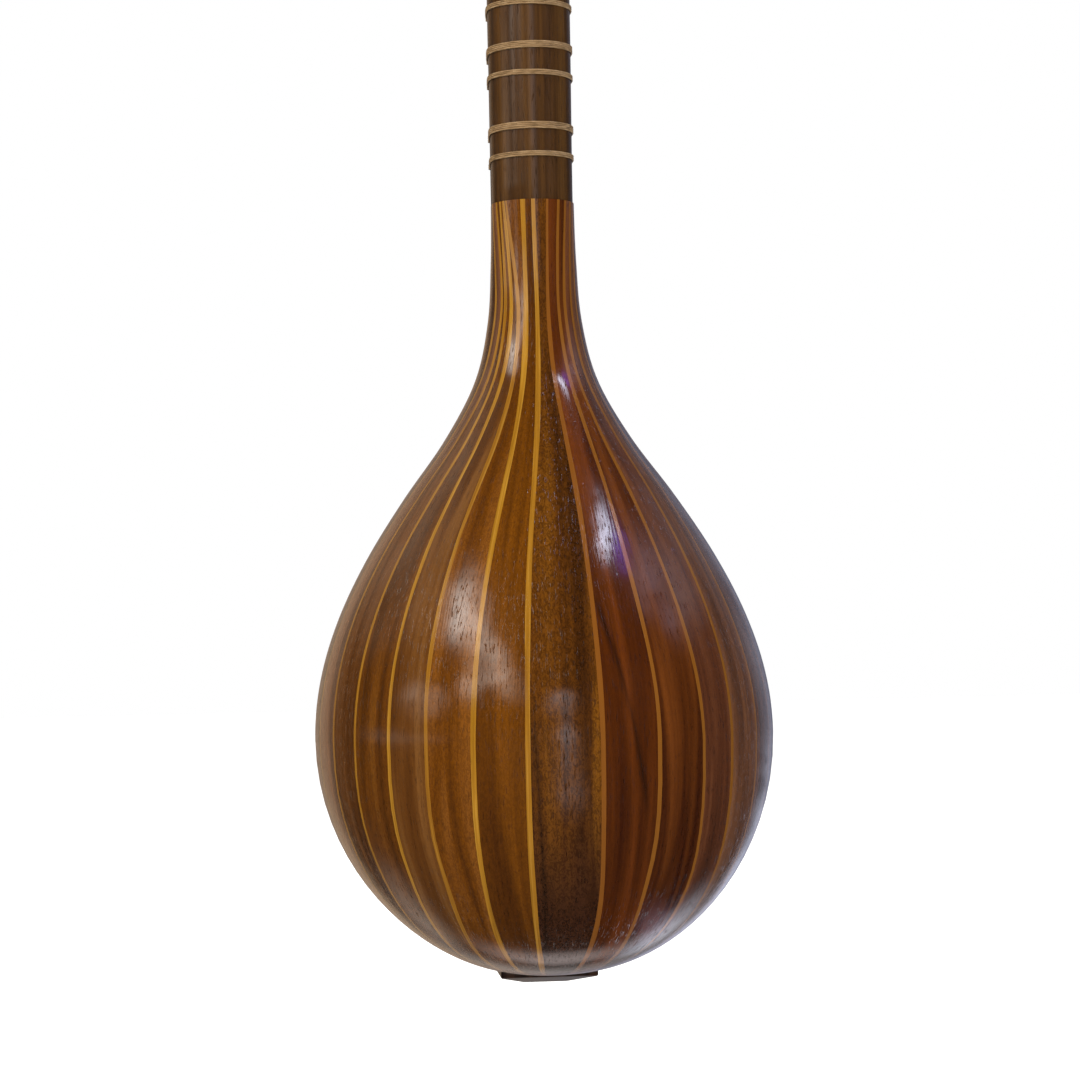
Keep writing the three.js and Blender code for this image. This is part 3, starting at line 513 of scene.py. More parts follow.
def wood(name, look):
    # Sawn wood under a finish: broad growth bands, fine fibres and short dark pores, all drawn out along
    # the grain. A look with a turn takes its grain from the piece's own place
    material, tree, shader = startMaterial(name)
    if "turn" in look:
        origin = addNode(tree, "TexCoord").outputs["Object"]
        origin = addNode(tree, "Mapping", {"Vector": origin, "Rotation": look["turn"]}).outputs[0]
    else:
        origin = addNode(tree, "Attribute", attribute_name="grainPlace").outputs["Vector"]
    # each pattern is noise in a space squeezed by the size of its features across and along the grain
    patterns = {}
    for pattern in ("bands", "fibres", "pores", "figure"):
        across, along = look[pattern + "Size"]
        scale = (1 / across, 1 / along, 1 / across)
        squeezed = addNode(tree, "Mapping", {"Vector": origin, "Scale": scale}).outputs[0]
        bend = look.get(pattern + "Bend", grain["bend"])
        sockets = {"Vector": squeezed, "Scale": 1.0, "Detail": 2.0, "Roughness": grain["coarseness"],
                   "Distortion": bend}
        patterns[pattern] = addNode(tree, "TexNoise", sockets).outputs["Fac"]
    tint = addNode(tree, "ValToRGB", {"Fac": patterns["bands"]},
                   list(zip(grain["shades"], look["shades"]))).outputs["Color"]
    if "lower" in look:
        # the wood changes shade along the piece
        start, end = look["lowerSpan"]
        along = addNode(tree, "SeparateXYZ", {"Vector": origin}).outputs["Y"]
        wavy = addNode(tree, "Math", {0: patterns["bands"], 1: grain["lowerWave"]},
                       operation="MULTIPLY").outputs[0]
        moved = addNode(tree, "Math", {0: along, 1: wavy}, operation="ADD").outputs[0]
        share = addNode(tree, "MapRange", {"Value": moved, "From Min": start, "From Max": end},
                        interpolation_type="SMOOTHSTEP").outputs[0]
        tint = addNode(tree, "Mix", {"Factor": share, 6: tint, 7: toLinear(look["lower"])},
                       data_type="RGBA").outputs[2]
    for pattern, strength in (("fibres", "fibreStrength"), ("figure", "figureStrength"),
                              ("pores", "poreStrength")):
        low, high = grain[pattern]
        share = addNode(tree, "MapRange", {"Value": patterns[pattern], "From Min": low, "From Max": high,
                                           "To Max": look[strength]}).outputs[0]
        tint = addNode(tree, "Mix", {"Factor": share, 6: tint, 7: toLinear(look["poreColour"])},
                       data_type="RGBA", blend_type="MULTIPLY").outputs[2]
    for streak in look.get("streaks", []):
        share = veinShare(tree, origin, patterns["bands"], streak)
        tint = addNode(tree, "Mix", {"Factor": share, 6: tint, 7: toLinear(streak["colour"])},
                       data_type="RGBA").outputs[2]
    if "toneColour" in look:
        # each strip takes its own share of a second colour
        tone = addNode(tree, "Attribute", attribute_name="tone").outputs["Fac"]
        tint = addNode(tree, "Mix", {"Factor": tone, 6: tint, 7: toLinear(look["toneColour"])},
                       data_type="RGBA").outputs[2]
    # the finish sinks into the pores and lies in slow waves over the rest
    low, high = grain["dents"]
    dents = addNode(tree, "MapRange", {"Value": patterns["pores"], "From Min": low, "From Max": high,
                                       "To Min": 1.0, "To Max": 0.0}).outputs[0]
    surface = addNode(tree, "Bump", {"Height": dents, "Strength": look["poreBump"],
                                     "Distance": look["poreDepth"]}).outputs[0]
    surface = addNode(tree, "Bump", {"Height": patterns["fibres"], "Normal": surface, "Strength": 1.0,
                                     "Distance": look.get("fibreDepth", grain["fibreDepth"])}).outputs[0]
    waves = addNode(tree, "TexNoise", {"Vector": origin, "Scale": 1 / look["waveSize"],
                                       "Detail": 1.0}).outputs["Fac"]
    surface = addNode(tree, "Bump", {"Height": waves, "Normal": surface, "Strength": look["waveBump"],
                                     "Distance": look["waveDepth"]}).outputs[0]
    glossy, dull = [look["roughness"] + change for change in grain["glossRange"]]
    rough = addNode(tree, "MapRange", {"Value": patterns["fibres"], "To Min": glossy,
                                       "To Max": dull}).outputs[0]
    setSockets(tree, shader, {"Base Color": tint, "Normal": surface, "Roughness": rough, "IOR": grain["ior"]})
    if "coat" in look:
        # the varnish fills the surface, so the light comes back from the varnish and hardly from the wood
        setSockets(tree, shader, {
            "Specular IOR Level": look["specular"],
            "Coat Weight": look["coat"],
            "Coat Roughness": look["coatRoughness"],
            "Coat IOR": grain["ior"],
            "Coat Normal": surface,
        })
    return material


def patched(name, look):
    # a pale material with faint patches, in a space squeezed by their number in a metre
    material, tree, shader = startMaterial(name)
    place = addNode(tree, "TexCoord").outputs["Object"]
    place = addNode(tree, "Mapping", {"Vector": place, "Scale": look["perMetre"],
                                      "Rotation": look["turn"]}).outputs[0]
    patches = addNode(tree, "TexNoise", {"Vector": place, "Scale": 1.0,
                                         "Detail": look["detail"]}).outputs["Fac"]
    tint = addNode(tree, "ValToRGB", {"Fac": patches}, look["stops"]).outputs["Color"]
    surface = addNode(tree, "Bump", {"Height": patches, "Strength": look["bump"],
                                     "Distance": look["bumpDepth"]}).outputs[0]
    setSockets(tree, shader, {"Base Color": tint, "Normal": surface, "Roughness": look["roughness"],
                              "IOR": look["ior"]})
    return material


def assign(piece, material):
    piece.data.materials.clear()
    piece.data.materials.append(material)
    for polygon in piece.data.polygons:
        polygon.material_index = 0


def finishPiece(piece, node, material, body="instrument"):
    assign(piece, material)
    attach(piece, body)
    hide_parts(node)


def camelName(node):
    # a piece is named after its node: peg_side_lower gives pegSideLower
    first, *rest = node.split("_")
    return first + "".join(word.capitalize() for word in rest)


# Varnished walnut for the ribs: open pores up to 3 mm long, a gloss coat that was brushed on and rubbed down
walnut = {
    "bandsSize": (0.0075, 0.16),
    "bandsBend": 0.6,
    "fibresSize": (0.0007, 0.03),
    "poresSize": (0.0005, 0.0045),
    "figureSize": (0.0010, 0.0020),
    "figureBend": 1.6,
    "fibreStrength": 0.22,
    "figureStrength": 0.12,
    "poreStrength": 0.4,
    "poreColour": "#371a06",
    "poreBump": 0.4,
    "poreDepth": 0.0002,
    "fibreDepth": 0.00003,
    "waveSize": 0.012,
    "waveBump": 0.10,
    "waveDepth": 0.0012,
    "roughness": 0.42,
    "specular": 0.05,
    "coat": 1.0,
    "coatRoughness": 0.11,
}
# Shades of the boards that the ribs were sawn from
boards = {
    "plum": ("#3a2210", "#4d2c17", "#5f3a23"),
    "plumLight": ("#4d3020", "#643f28", "#785034"),
    "plumRed": ("#3c2012", "#502b17", "#633a21"),
    "redDark": ("#341404", "#4c2405", "#61320c"),
    "red": ("#301103", "#482002", "#5d2c07"),
    "heart": ("#3d2004", "#563006", "#6c410a"),
    "amber": ("#452302", "#583001", "#6a3c03"),
    "honey": ("#4f2a02", "#623601", "#744511"),
    "brown": ("#462606", "#58330d", "#6a441c"),
    "gold": ("#4a2804", "#5c3305", "#6f430f"),
    "brownDark": ("#44250a", "#553110", "#67401e"),
}
# From the -X side to the +X side: the board of each rib, and what sets some of them apart
ribBoards = ["plum"] * 4 + ["plumLight", "plumRed", "redDark", "red", "heart", "amber", "honey", "brown",
                            "gold", "brownDark", "plumLight", "plum", "plum"]
ribMarks = {
    7: {"streaks": [{"from": (0.008, 0.21), "to": (-0.006, 0.13), "width": 0.003, "strength": 0.8,
                     "colour": "#1d0c04"}]},
    8: {"figureStrength": 0.5, "lower": "#3b2112", "lowerSpan": (0.165, 0.105),
        "streaks": [{"from": (0.010, 0.17), "to": (0.005, 0.04), "width": 0.0022, "strength": 0.7,
                     "colour": "#120a05"},
                    {"from": (-0.008, 0.19), "to": (-0.008, 0.05), "width": 0.005, "strength": 0.6,
                     "colour": "#2a1405"}]},
    9: {"figureStrength": 0.25},
    10: {"figureStrength": 0.3},
    12: {"figureStrength": 0.25},
}

# The bowl
ribs = {
    "columns": 8,
    "edgeColumns": 18,
    # how far apart the boards lie in the grain's pattern
    "boardStep": 0.7,
}


def alongStations():
    # length of the surface from the tail, along the middle of the back
    start = bowl["ringShares"][1] * bowl["depth"]
    return [length + start for length in runningLengths([bowlPoint(station, 0.0, 0) for station in stations])]


alongs = alongStations()


def buildRibs():
    for rib in range(ribCount):
        isFirst = rib == 0
        isLast = rib == ribCount - 1
        columns = ribs["edgeColumns"] if isFirst or isLast else ribs["columns"]
        outer, inner, places = [], [], []
        for station, along in zip(stations, alongs):
            for inset, grid in ((bowl["wall"], inner), (0.0, outer)):
                start = -frontAngle(station, inset) if isFirst else filletSide(station, rib - 1, 1, inset)
                end = frontAngle(station, inset) if isLast else filletSide(station, rib, -1, inset)
                angles = evenly(start, end, columns)
                grid.append([bowlPoint(station, angle, inset) for angle in angles])
            # the grain keeps its width along the rib, so it is cut off at the seams as the rib narrows
            middle = (start + end) / 2
            arc = arcPerRadian(station, middle, 0)
            places += [((angle - middle) * arc, along, rib * ribs["boardStep"]) for angle in angles]
        node = f"rib_{rib + 1:02d}"
        piece, used = wallMesh(camelName(node), outer, inner)
        setLayer(piece, "grainPlace", [places[i % len(places)] for i in used], "FLOAT_VECTOR")
        look = {**walnut, "shades": boards[ribBoards[rib]], **ribMarks.get(rib, {})}
        finishPiece(piece, node, wood(f"varnishedWalnut{rib + 1:02d}", look))


buildRibs()
print("ribs built")

# Light fillets of ash, yellow under the varnish, darker on the -X side
fillets = {
    "tones": [0.9, 0.85, 0.8, 0.8, 0.8, 0.85, 0.85, 0.95, 0.2, 0.0, 0.35, 0.0, 0.2, 0.35, 0.4, 0.5],
    "subdivisions": 2,
    "boardStep": 0.37,
    "look": {
        **walnut,
        "shades": ("#845b12", "#956919", "#a47b2a"),
        "toneColour": "#6c3f12",
        "bandsSize": (0.0009, 0.05),
        "fibresSize": (0.0003, 0.02),
        "poresSize": (0.0003, 0.004),
        "figureSize": (0.002, 0.01),
        "fibreStrength": 0.25,
        "figureStrength": 0.0,
        "poreStrength": 0.15,
        "poreColour": "#5a3410",
        "poreBump": 0.1,
    },
}


def buildFillets():
    rows = [(bowl["ringShares"][0], 0.0)] + stations
    steps = fillets["subdivisions"]
    grids = []
    for inset in (0.0, bowl["wall"]):
        grid = []
        for station in rows:
            row = []
            for seam in range(len(seams)):
                low, high = [filletSide(station, seam, side, inset) for side in (-1, 1)]
                row += [bowlPoint(station, angle, inset) for angle in evenly(low, high, steps)]
            grid.append(row)
        grids.append(grid)
    wide = steps + 1
    piece, used = wallMesh("seamFillets", *grids, lambda s, c: s == 0 or c % wide < steps)
    columns = len(seams) * wide
    along = [0.0] + alongs
    places, tones = [], []
    for i in used:
        row, column = divmod(i % (len(rows) * columns), columns)
        seam, place = divmod(column, wide)
        places.append((place * bowl["fillet"] / steps, along[row], seam * fillets["boardStep"]))
        tones.append(fillets["tones"][seam])
    setLayer(piece, "grainPlace", places, "FLOAT_VECTOR")
    setLayer(piece, "tone", tones)
    finishPiece(piece, "seam_fillets", wood("varnishedAsh", fillets["look"]))


buildFillets()
print("fillets built")

# Soundboard of mulberry: fine straight grain, oiled
soundboard = {
    "edgeRound": 0.0005,
    "edgeShare": 0.3,
    "holeRadius": 0.0015,
    "holeSpacing": 0.008,
    "holeHeight": 0.150,
    "holeRows": [1, 2, 3, 2, 1],
    "holeSides": 32,
    "look": {
        "shades": ("#a87d45", "#bf965a", "#cda86c"),
        "bandsSize": (0.0022, 0.3),
        "bandsBend": 0.3,
        "fibresSize": (0.0005, 0.05),
        "poresSize": (0.0005, 0.006),
        "figureSize": (0.012, 0.004),
        "fibreStrength": 0.25,
        "figureStrength": 0.08,
        "poreStrength": 0.3,
        "poreColour": "#6e4a22",
        "poreBump": 0.25,
        "poreDepth": 0.0002,
        "waveSize": 0.03,
        "waveBump": 0.05,
        "waveDepth": 0.001,
        "roughness": 0.45,
        "turn": alongNeck,
    },
}


def boardOutline(inset):
    right = []
    for station in stations:
        if station[0] < boardEdge:
            continue
        angle = frontAngle(station, 0)
        point = bowlPoint(station, angle, 0)
        right.append(Vector((max(point.x, 0.0), 0, point.z)))
    right = right[1:]
    outline = right + [Vector((-p.x, 0, p.z)) for p in reversed(right)]
    if inset == 0:
        return outline
    moved = []
    for i, point in enumerate(outline):
        before = outline[i - 1]
        after = outline[(i + 1) % len(outline)]
        heading = (after - before).normalized()
        moved.append(point + Vector((-heading.z, 0, heading.x)) * inset)
    return moved


def buildSoundboard():
    round_ = soundboard["edgeRound"]
    part = round_ * soundboard["edgeShare"]
    back = -neck["glue"]
    profile = [(0, back), (0, boardFront + round_), (part, boardFront + part), (round_, boardFront)]
    loops = [[Vector((p.x, y, p.z)) for p in boardOutline(inset)] for inset, y in profile]
    piece = loftMesh("soundBoard", loops)
    middleRow = (len(soundboard["holeRows"]) - 1) / 2
    spacing = soundboard["holeSpacing"]
    radius = soundboard["holeRadius"]
    profile = [(radius, boardFront - radius), (radius, back + radius)]
    holes = []
    for row, count in enumerate(soundboard["holeRows"]):
        z = tailZ + soundboard["holeHeight"] + (row - middleRow) * spacing / 2
        for hole in range(count):
            x = (hole - (count - 1) / 2) * spacing
            loops = turnedLoops(profile, soundboard["holeSides"], lambda a, b, c: Vector((x + a, c, z + b)))
            holes.append(loftMesh("hole", loops))
    combine(piece, "DIFFERENCE", joinMeshes("holes", holes))
    shadeSmooth(piece.data, sharpAngle)
    finishPiece(piece, "soundboard", wood("oiledMulberry", soundboard["look"]))


buildSoundboard()
print("soundboard built")

# Neck and head, carved from one piece of walnut
head = {
    "overlap": 0.001,
    "recess": 0.0045,
    "swell": 0.0026,
    "frontRound": 0.0022,
    "heightShares": [0, 0.12, 0.45, 0.8, 0.92, 1],
    "swellShares": [-0.25, 0, 0.7, 1, 0.35, -1.9],
    "backShares": [1, 1, 0.97, 0.92, 0.88, 0.8],
    "roundShares": [0.42, 0.38, 0.3, 0.26, 0.26, 0.26],
    "topRound": 0.003,
    "tenonWidth": 0.010,
    "tenonDepth": 0.014,
    "tenonFront": 0.006,
    "tenonLength": 0.032,
    "tenonOverlap": 0.003,
    "steps": 60,
    "blendSteps": 4,
    "cornerSteps": 8,
    "fadeSteps": 12,
    "backSteps": 48,
    "edge": 0.0004,
    "edgeAngle": 50,
    "look": {
        **walnut,
        "shades": ("#35210f", "#432b13", "#513618"),
        "bandsSize": (0.004, 0.3),
        "bandsBend": 0.3,
        "fibreStrength": 0.3,
        "figureStrength": 0.05,
        # satin, worn by the hand
        "coat": 0.7,
        "coatRoughness": 0.2,
        "turn": alongNeck,
    },
}
headStart = nutHigh.z
headLength = headTop - headStart


def neckInset(z):
    return neck["jointInset"] * (1 - smooth((z - jointZ) / neck["jointFade"]))


def neckBack(z):
    inset = neckInset(z)
    end = frontAngle((1.0, 1.0), inset)
    points = [bowlPoint((1.0, 1.0), angle, inset) for angle in evenly(-end, end, head["backSteps"])]
    return [(p.x, max(p.y, 0.0)) for p in points]


def headSection(share):
    swell, back, round_ = [float(np.interp(share, head["heightShares"], head[name]))
                           for name in ("swellShares", "backShares", "roundShares")]
    half = neckHalf + head["swell"] * swell
    back *= neck["depth"]
    round_ *= neck["depth"]
    front = head["recess"]
    corners = [(-half, front, head["frontRound"], 180), (-half, back, round_, 90),
               (half, back, round_, 0), (half, front, head["frontRound"], -90)]
    loop = []
    for x, y, radius, start in corners:
        cx = x + (radius if x < 0 else -radius)
        cy = y + (radius if y == front else -radius)
        for i in range(head["cornerSteps"] + 1):
            # clockwise round the section, so the corners follow each other
            angle = math.radians(start + 90 - i * 90 / head["cornerSteps"])
            loop.append((cx + radius * math.cos(angle), cy + radius * math.sin(angle)))
    return loop


def headLoops():
    steps = head["steps"]
    kernel = head["blendSteps"]
    sections = [headSection(i / steps) for i in range(steps + 1)]
    loops = []
    for i in range(steps + 1):
        window = [sections[min(max(i + k, 0), steps)] for k in range(-kernel, kernel + 1)]
        loop = np.mean(np.array(window), axis=0)
        z = headStart + headLength * i / steps
        rest = headTop - z
        if rest < head["topRound"]:
            # the top edge is rounded over
            pull = head["topRound"] - math.sqrt(head["topRound"] ** 2 - (head["topRound"] - rest) ** 2)
            centre = loop.mean(axis=0)
            for k, point in enumerate(loop):
                away = point - centre
                loop[k] = centre + away * (1 - pull / np.linalg.norm(away))
        loops.append([Vector((x, y, z)) for x, y in loop])
    first = [Vector((p.x, p.y, headStart - head["overlap"])) for p in loops[0]]
    return [first] + loops


def buildNeck():
    low = jointZ + neck["glue"]
    heights = evenly(low, low + neck["jointFade"], head["fadeSteps"]) + [headStart]
    shaft = loftMesh("neckAndHead", [[Vector((x, y, z)) for x, y in neckBack(z)] for z in heights])
    outline = rectangle(head["tenonWidth"] / 2, head["tenonFront"], head["tenonFront"] + head["tenonDepth"])
    tenon = prism("tenon", outline, jointZ - head["tenonLength"], jointZ + head["tenonOverlap"])
    combine(shaft, "UNION", loftMesh("headBlock", headLoops()), tenon)
    combine(shaft, "DIFFERENCE", *[boreTool(seat) for seat in pegSeats])
    softenEdges(shaft, head["edge"], sharp=head["edgeAngle"])
    finishPiece(shaft, "neck", wood("neckWalnut", head["look"]))


# Pegs, turned from dark hardwood
peg = {
    "radius": 0.004,
    "tipRadius": 0.0032,
    "tipStandout": 0.002,
    "shank": 0.011,
    "collarRadius": 0.006,
    "collar": 0.0022,
    "waistRadius": 0.0043,
    "knobRadius": 0.009,
    "knobLength": 0.022,
    "finialRadius": 0.003,
    "finialLength": 0.0035,
    # the tip's rounding: shares of its radius, and distances from its end
    "tipProfile": [(0.0625, 0.0), (0.8, 0.0001), (1.0, 0.0006)],
    "shankEnd": 0.0005,
    "collarSteps": 8,
    "collarFullness": 0.6,
    "knobShares": [0, 0.2, 0.45, 0.8, 0.94, 1],
    "knobRadii": [0.003956, 0.00594, 0.009, 0.00774, 0.00495, 0.003],
    "knobSteps": 34,
    "finialNeck": 0.8,
    "finialStart": 0.22,
    "finialTip": 0.02,
    "finialSteps": 8,
    "clearance": 0.00012,
    "sides": 56,
    "sharp": 45,
}
hardwood = {
    "shades": ("#1c100a", "#2c1a10", "#3c2516"),
    "bandsSize": (0.0022, 0.05),
    "bandsBend": 0.4,
    "fibresSize": (0.0004, 0.01),
    "poresSize": (0.0004, 0.003),
    "figureSize": (0.004, 0.01),
    "fibreStrength": 0.3,
    "figureStrength": 0.0,
    "poreStrength": 0.3,
    "poreColour": "#140a06",
    "poreBump": 0.15,
    "poreDepth": 0.0002,
    "waveSize": 0.02,
    "waveBump": 0.04,
    "waveDepth": 0.0006,
    "roughness": 0.3,
    "turn": (0, 0, 0),
}


def findSeats():
    seats = []
    for joint in frame["joints"]:
        if joint["type"] != "hinge":
            continue
        node = joint["child"]
        low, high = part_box(node)
        x, y, z = joint["pos_m"]
        isFront = abs(joint["axis"][1]) > 0.5
        if isFront:
            face = head["recess"]
            through = high.y - peg["tipStandout"] - face
        else:
            face = low.x + peg["finialLength"] + peg["knobLength"] + peg["collar"] + peg["shank"]
            through = high.x - peg["tipStandout"] - face
        seats.append({"node": node, "front": isFront, "x": x, "y": y, "z": z, "face": face,
                      "through": through})
    return seats


pegSeats = findSeats()


def placeOnPeg(seat):
    # along a peg: 0 at the head's face, the knob at negative values
    if seat["front"]:
        return lambda a, b, along: Vector((seat["x"] + a, seat["face"] + along, seat["z"] + b))
    return lambda a, b, along: Vector((seat["face"] + along, seat["y"] + a, seat["z"] + b))


def boreTool(seat):
    taper = (peg["radius"] - peg["tipRadius"]) / (seat["through"] + peg["tipStandout"])
    reach = 0.004
    profile = []
    for along in (-reach, seat["through"] + reach):
        profile.append((peg["radius"] - taper * along + peg["clearance"], along))
    return loftMesh("bore", turnedLoops(profile, peg["sides"], placeOnPeg(seat)))


def pegProfile(seat):
    tip = seat["through"] + peg["tipStandout"]
    collarAt = -peg["shank"]
    waistAt = collarAt - peg["collar"]
    knobEnd = waistAt - peg["knobLength"]
    profile = [(peg["tipRadius"] * share, tip - back) for share, back in peg["tipProfile"]]
    profile += [(peg["radius"], 0.0), (peg["radius"], collarAt + peg["shankEnd"])]
    # rounded collar
    for share in evenly(0, 1, peg["collarSteps"]):
        bulge = math.sin(math.pi * share) ** peg["collarFullness"]
        profile.append((mix(peg["waistRadius"], peg["collarRadius"], bulge), mix(collarAt, waistAt, share)))
    # knob, as a smooth curve through its waist, its bulge and its closing end
    for share in evenly(0, 1, peg["knobSteps"])[1:-1]:
        radius = min(curveThrough(peg["knobShares"], peg["knobRadii"], share), peg["knobRadius"])
        profile.append((radius, waistAt - peg["knobLength"] * share))
    # finial: a small neck and a bead
    profile.append((peg["finialRadius"] * peg["finialNeck"], knobEnd))
    for share in evenly(0, 1, peg["finialSteps"])[1:]:
        bead = max(math.sin(math.pi * mix(peg["finialStart"], 1, share)), peg["finialTip"])
        profile.append((peg["finialRadius"] * bead, knobEnd - peg["finialLength"] * share))
    return profile


def buildPegs():
    material = wood("turnedHardwood", hardwood)
    for seat in pegSeats:
        node = seat["node"]
        loops = turnedLoops(pegProfile(seat), peg["sides"], placeOnPeg(seat))
        finishPiece(loftMesh(camelName(node), loops, peg["sharp"]), node, material, node)


buildNeck()
buildPegs()
print("neck, head and pegs built")

# Fingerboard, nut, bridge and tailpiece
fittings = {
    "boardEdge": 0.0004,
    "nutEdge": 0.0002,
    "nutShares": (0.58, 0.15, -0.4, -0.58),
    # the strings' middle lines lie this far in front of the fingerboard at the nut
    "nutStringRise": 0.0015,
    "slotWidth": 0.0007,
    "slotRoom": 0.00032,
    "nutRise": 0.0021,
    "slotSteps": 6,
    "bridgeEdge": 0.00025,
    "bridgeShares": (0.45, 0.12, -0.29, -0.41),
    "bridgeSlotDepth": 0.0009,
    "bridgeCrestBeyond": 0.0059,
    "bridgeSteps": 12,
    "bridgeArchSteps": 24,
    "bridgeArchFullness": 1.6,
    "bridgeRise": 0.007,
    "bridgeFoot": 0.006,
    "bridgeCrest": 0.0024,
    "bridgeArch": 0.003,
    "bridgeFootLength": 0.012,
    "bridgeShoulderShare": 0.5,
    "tailForward": 0.005,
    "tailBackward": 0.021,
    "tailFoot": 0.003,
    "tailFootHalf": 0.008,
    "tailEndRise": 0.0034,
    "tailEdge": 0.0013,
    "tailRise": 0.0032,
    "tailSoft": 0.0006,
    "tailSoftAngle": 15,
    "tailSharp": 40,
    "paringReach": 0.001,
    "paringSpan": (-0.01, 0.03),
    "bowlSides": 96,
    "boardShapeDepth": 0.01,
    "studRadius": 0.0013,
    "studLength": 0.0024,
    "studHeight": 0.0034,
    "studSpacing": 0.0075,
    "studRoot": 0.001,
    # the stud's head: shares of its radius and of its length
    "studProfile": [(1, 0.72), (1.25, 0.8), (1.25, 0.92), (0.9, 1)],
    "studSides": 28,
    "studSharp": 50,
    "fitGap": 0.0003,
}
nutPlaces = [share * neckFrontHalf for share in fittings["nutShares"]]
bridgeLow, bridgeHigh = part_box("bridge")
bridgeHalf = bridgeHigh.x
bridgePlaces = [share * bridgeHalf for share in fittings["bridgeShares"]]
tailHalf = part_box("tailpiece")[1].x
studPlaces = [share * fittings["studSpacing"] for share in (1.5, 0.5, -0.5, -1.5)]

# Strings: steel and brass wire, from the treble side
strings = {
    "string_1_steel": {"radius": 0.00011, "peg": "peg_front_lower", "wire": "steel"},
    "string_2_brass": {"radius": 0.000125, "peg": "peg_front_upper", "wire": "brass"},
    "string_3_steel": {"radius": 0.00011, "peg": "peg_side_upper", "wire": "steel"},
    "string_4_bass": {"radius": 0.0002, "peg": "peg_side_lower", "wire": "brass"},
}
winding = {
    "standoff": 0.002,
    "turnsInPart": 4,
    "gapInPart": 0.0005,
    # the turns lie this many radii apart
    "closeness": 2.05,
    "steps": 24,
    "touch": 0.00001,
    "sides": 8,
    # the loop round the stud, and its end twisted round the string above it
    "loopTurn": 0.75,
    "twistAt": 0.0035,
    "twistLength": 0.007,
    "twistTurns": 5,
    "twistSteps": 12,
    "twistRadii": 2.1,
    "toBridge": (0.1, 0.5, 0.9, 0.98, 1),
    "toNut": (0.02, 0.5, 0.98, 1),
}
thickest = 2 * strings["string_4_bass"]["radius"]
stringGap = 0.0003
nutStringY = boardFront - fittings["nutStringRise"]
bridgeStringY = bridgeLow.y + fittings["bridgeSlotDepth"] - stringGap - thickest / 2

# Bone, sawn and polished: cream with faint cloudy patches
bone = {
    "perMetre": (400, 400, 400),
    "turn": (0, 0, 0),
    "detail": 3.0,
    "stops": [(0.3, "#d6c9a6"), (0.6, "#e8dfc8")],
    "bump": 0.1,
    "bumpDepth": 0.0001,
    "roughness": 0.35,
    "ior": 1.54,
}


def slotted(half, top, places, floor):
    # a slot with a round bottom under each string
    outline = [(half, top)]
    radius = fittings["slotWidth"] / 2
    for place in sorted(places, reverse=True):
        outline.append((place + radius, top))
        for angle in evenly(0, math.pi, fittings["slotSteps"]):
            outline.append((place + radius * math.cos(angle), floor - radius + radius * math.sin(angle)))
        outline.append((place - radius, top))
    outline.append((-half, top))
    return outline


def buildFingerboard(dark):
    outline = rectangle(neckFrontHalf, boardFront, -neck["glue"])
    board = prism("fingerBoard", outline, jointZ + neck["glue"], nutLow.z - neck["glue"])
    softenEdges(board, fittings["boardEdge"], 3)
    finishPiece(board, "fingerboard", dark)


def buildNut():
    outline = slotted(neckFrontHalf, boardFront - fittings["nutRise"], nutPlaces, nutStringY + thickest / 2)
    outline += [(-neckFrontHalf, -neck["glue"]), (neckFrontHalf, -neck["glue"])]
    nut = prism("boneNut", outline, nutLow.z, nutHigh.z)
    softenEdges(nut, fittings["nutEdge"])
    finishPiece(nut, "nut", patched("polishedBone", bone))


def bridgeOutline(foot):
    innerHalf = bridgeHalf - fittings["bridgeFootLength"]
    shoulder = foot - fittings["bridgeRise"] * fittings["bridgeShoulderShare"]
    crest = foot - fittings["bridgeRise"]
    crestHalf = max(abs(place) for place in bridgePlaces) + fittings["bridgeCrestBeyond"]
    # the top falls from the crest to each foot in a hollow curve
    fall = [(mix(bridgeHalf, crestHalf, t), mix(shoulder, crest, smooth(t)))
            for t in evenly(0, 1, fittings["bridgeSteps"])[:-1]]
    # the strings fall towards the tail, so the slots leave room for the bridge to be shifted that way
    floor = bridgeStringY + thickest / 2 + fittings["slotRoom"]
    outline = fall + slotted(crestHalf, crest, bridgePlaces, floor) + [(-x, y) for x, y in reversed(fall)]
    outline += [(-bridgeHalf, foot), (-innerHalf, foot)]
    for share in evenly(0, 1, fittings["bridgeArchSteps"])[1:-1]:
        lift = min(1.0, math.sin(math.pi * share) * fittings["bridgeArchFullness"])
        outline.append((mix(-innerHalf, innerHalf, share), foot - fittings["bridgeArch"] * lift))
    return outline + [(innerHalf, foot), (bridgeHalf, foot)]


def buildBridge(dark):
    foot = boardFront - neck["glue"]
    middle = (bridgeLow.z + bridgeHigh.z) / 2
    loops = []
    for side in (-1, 1):
        loop = []
        for x, y in bridgeOutline(foot):
            rise = (foot - y) / fittings["bridgeRise"]
            thickness = mix(fittings["bridgeFoot"], fittings["bridgeCrest"], rise)
            loop.append(Vector((x, y, middle + side * thickness / 2)))
        loops.append(loop)
    bridge = loftMesh("stringBridge", loops)
    softenEdges(bridge, fittings["bridgeEdge"])
    finishPiece(bridge, "bridge", dark, "bridge")


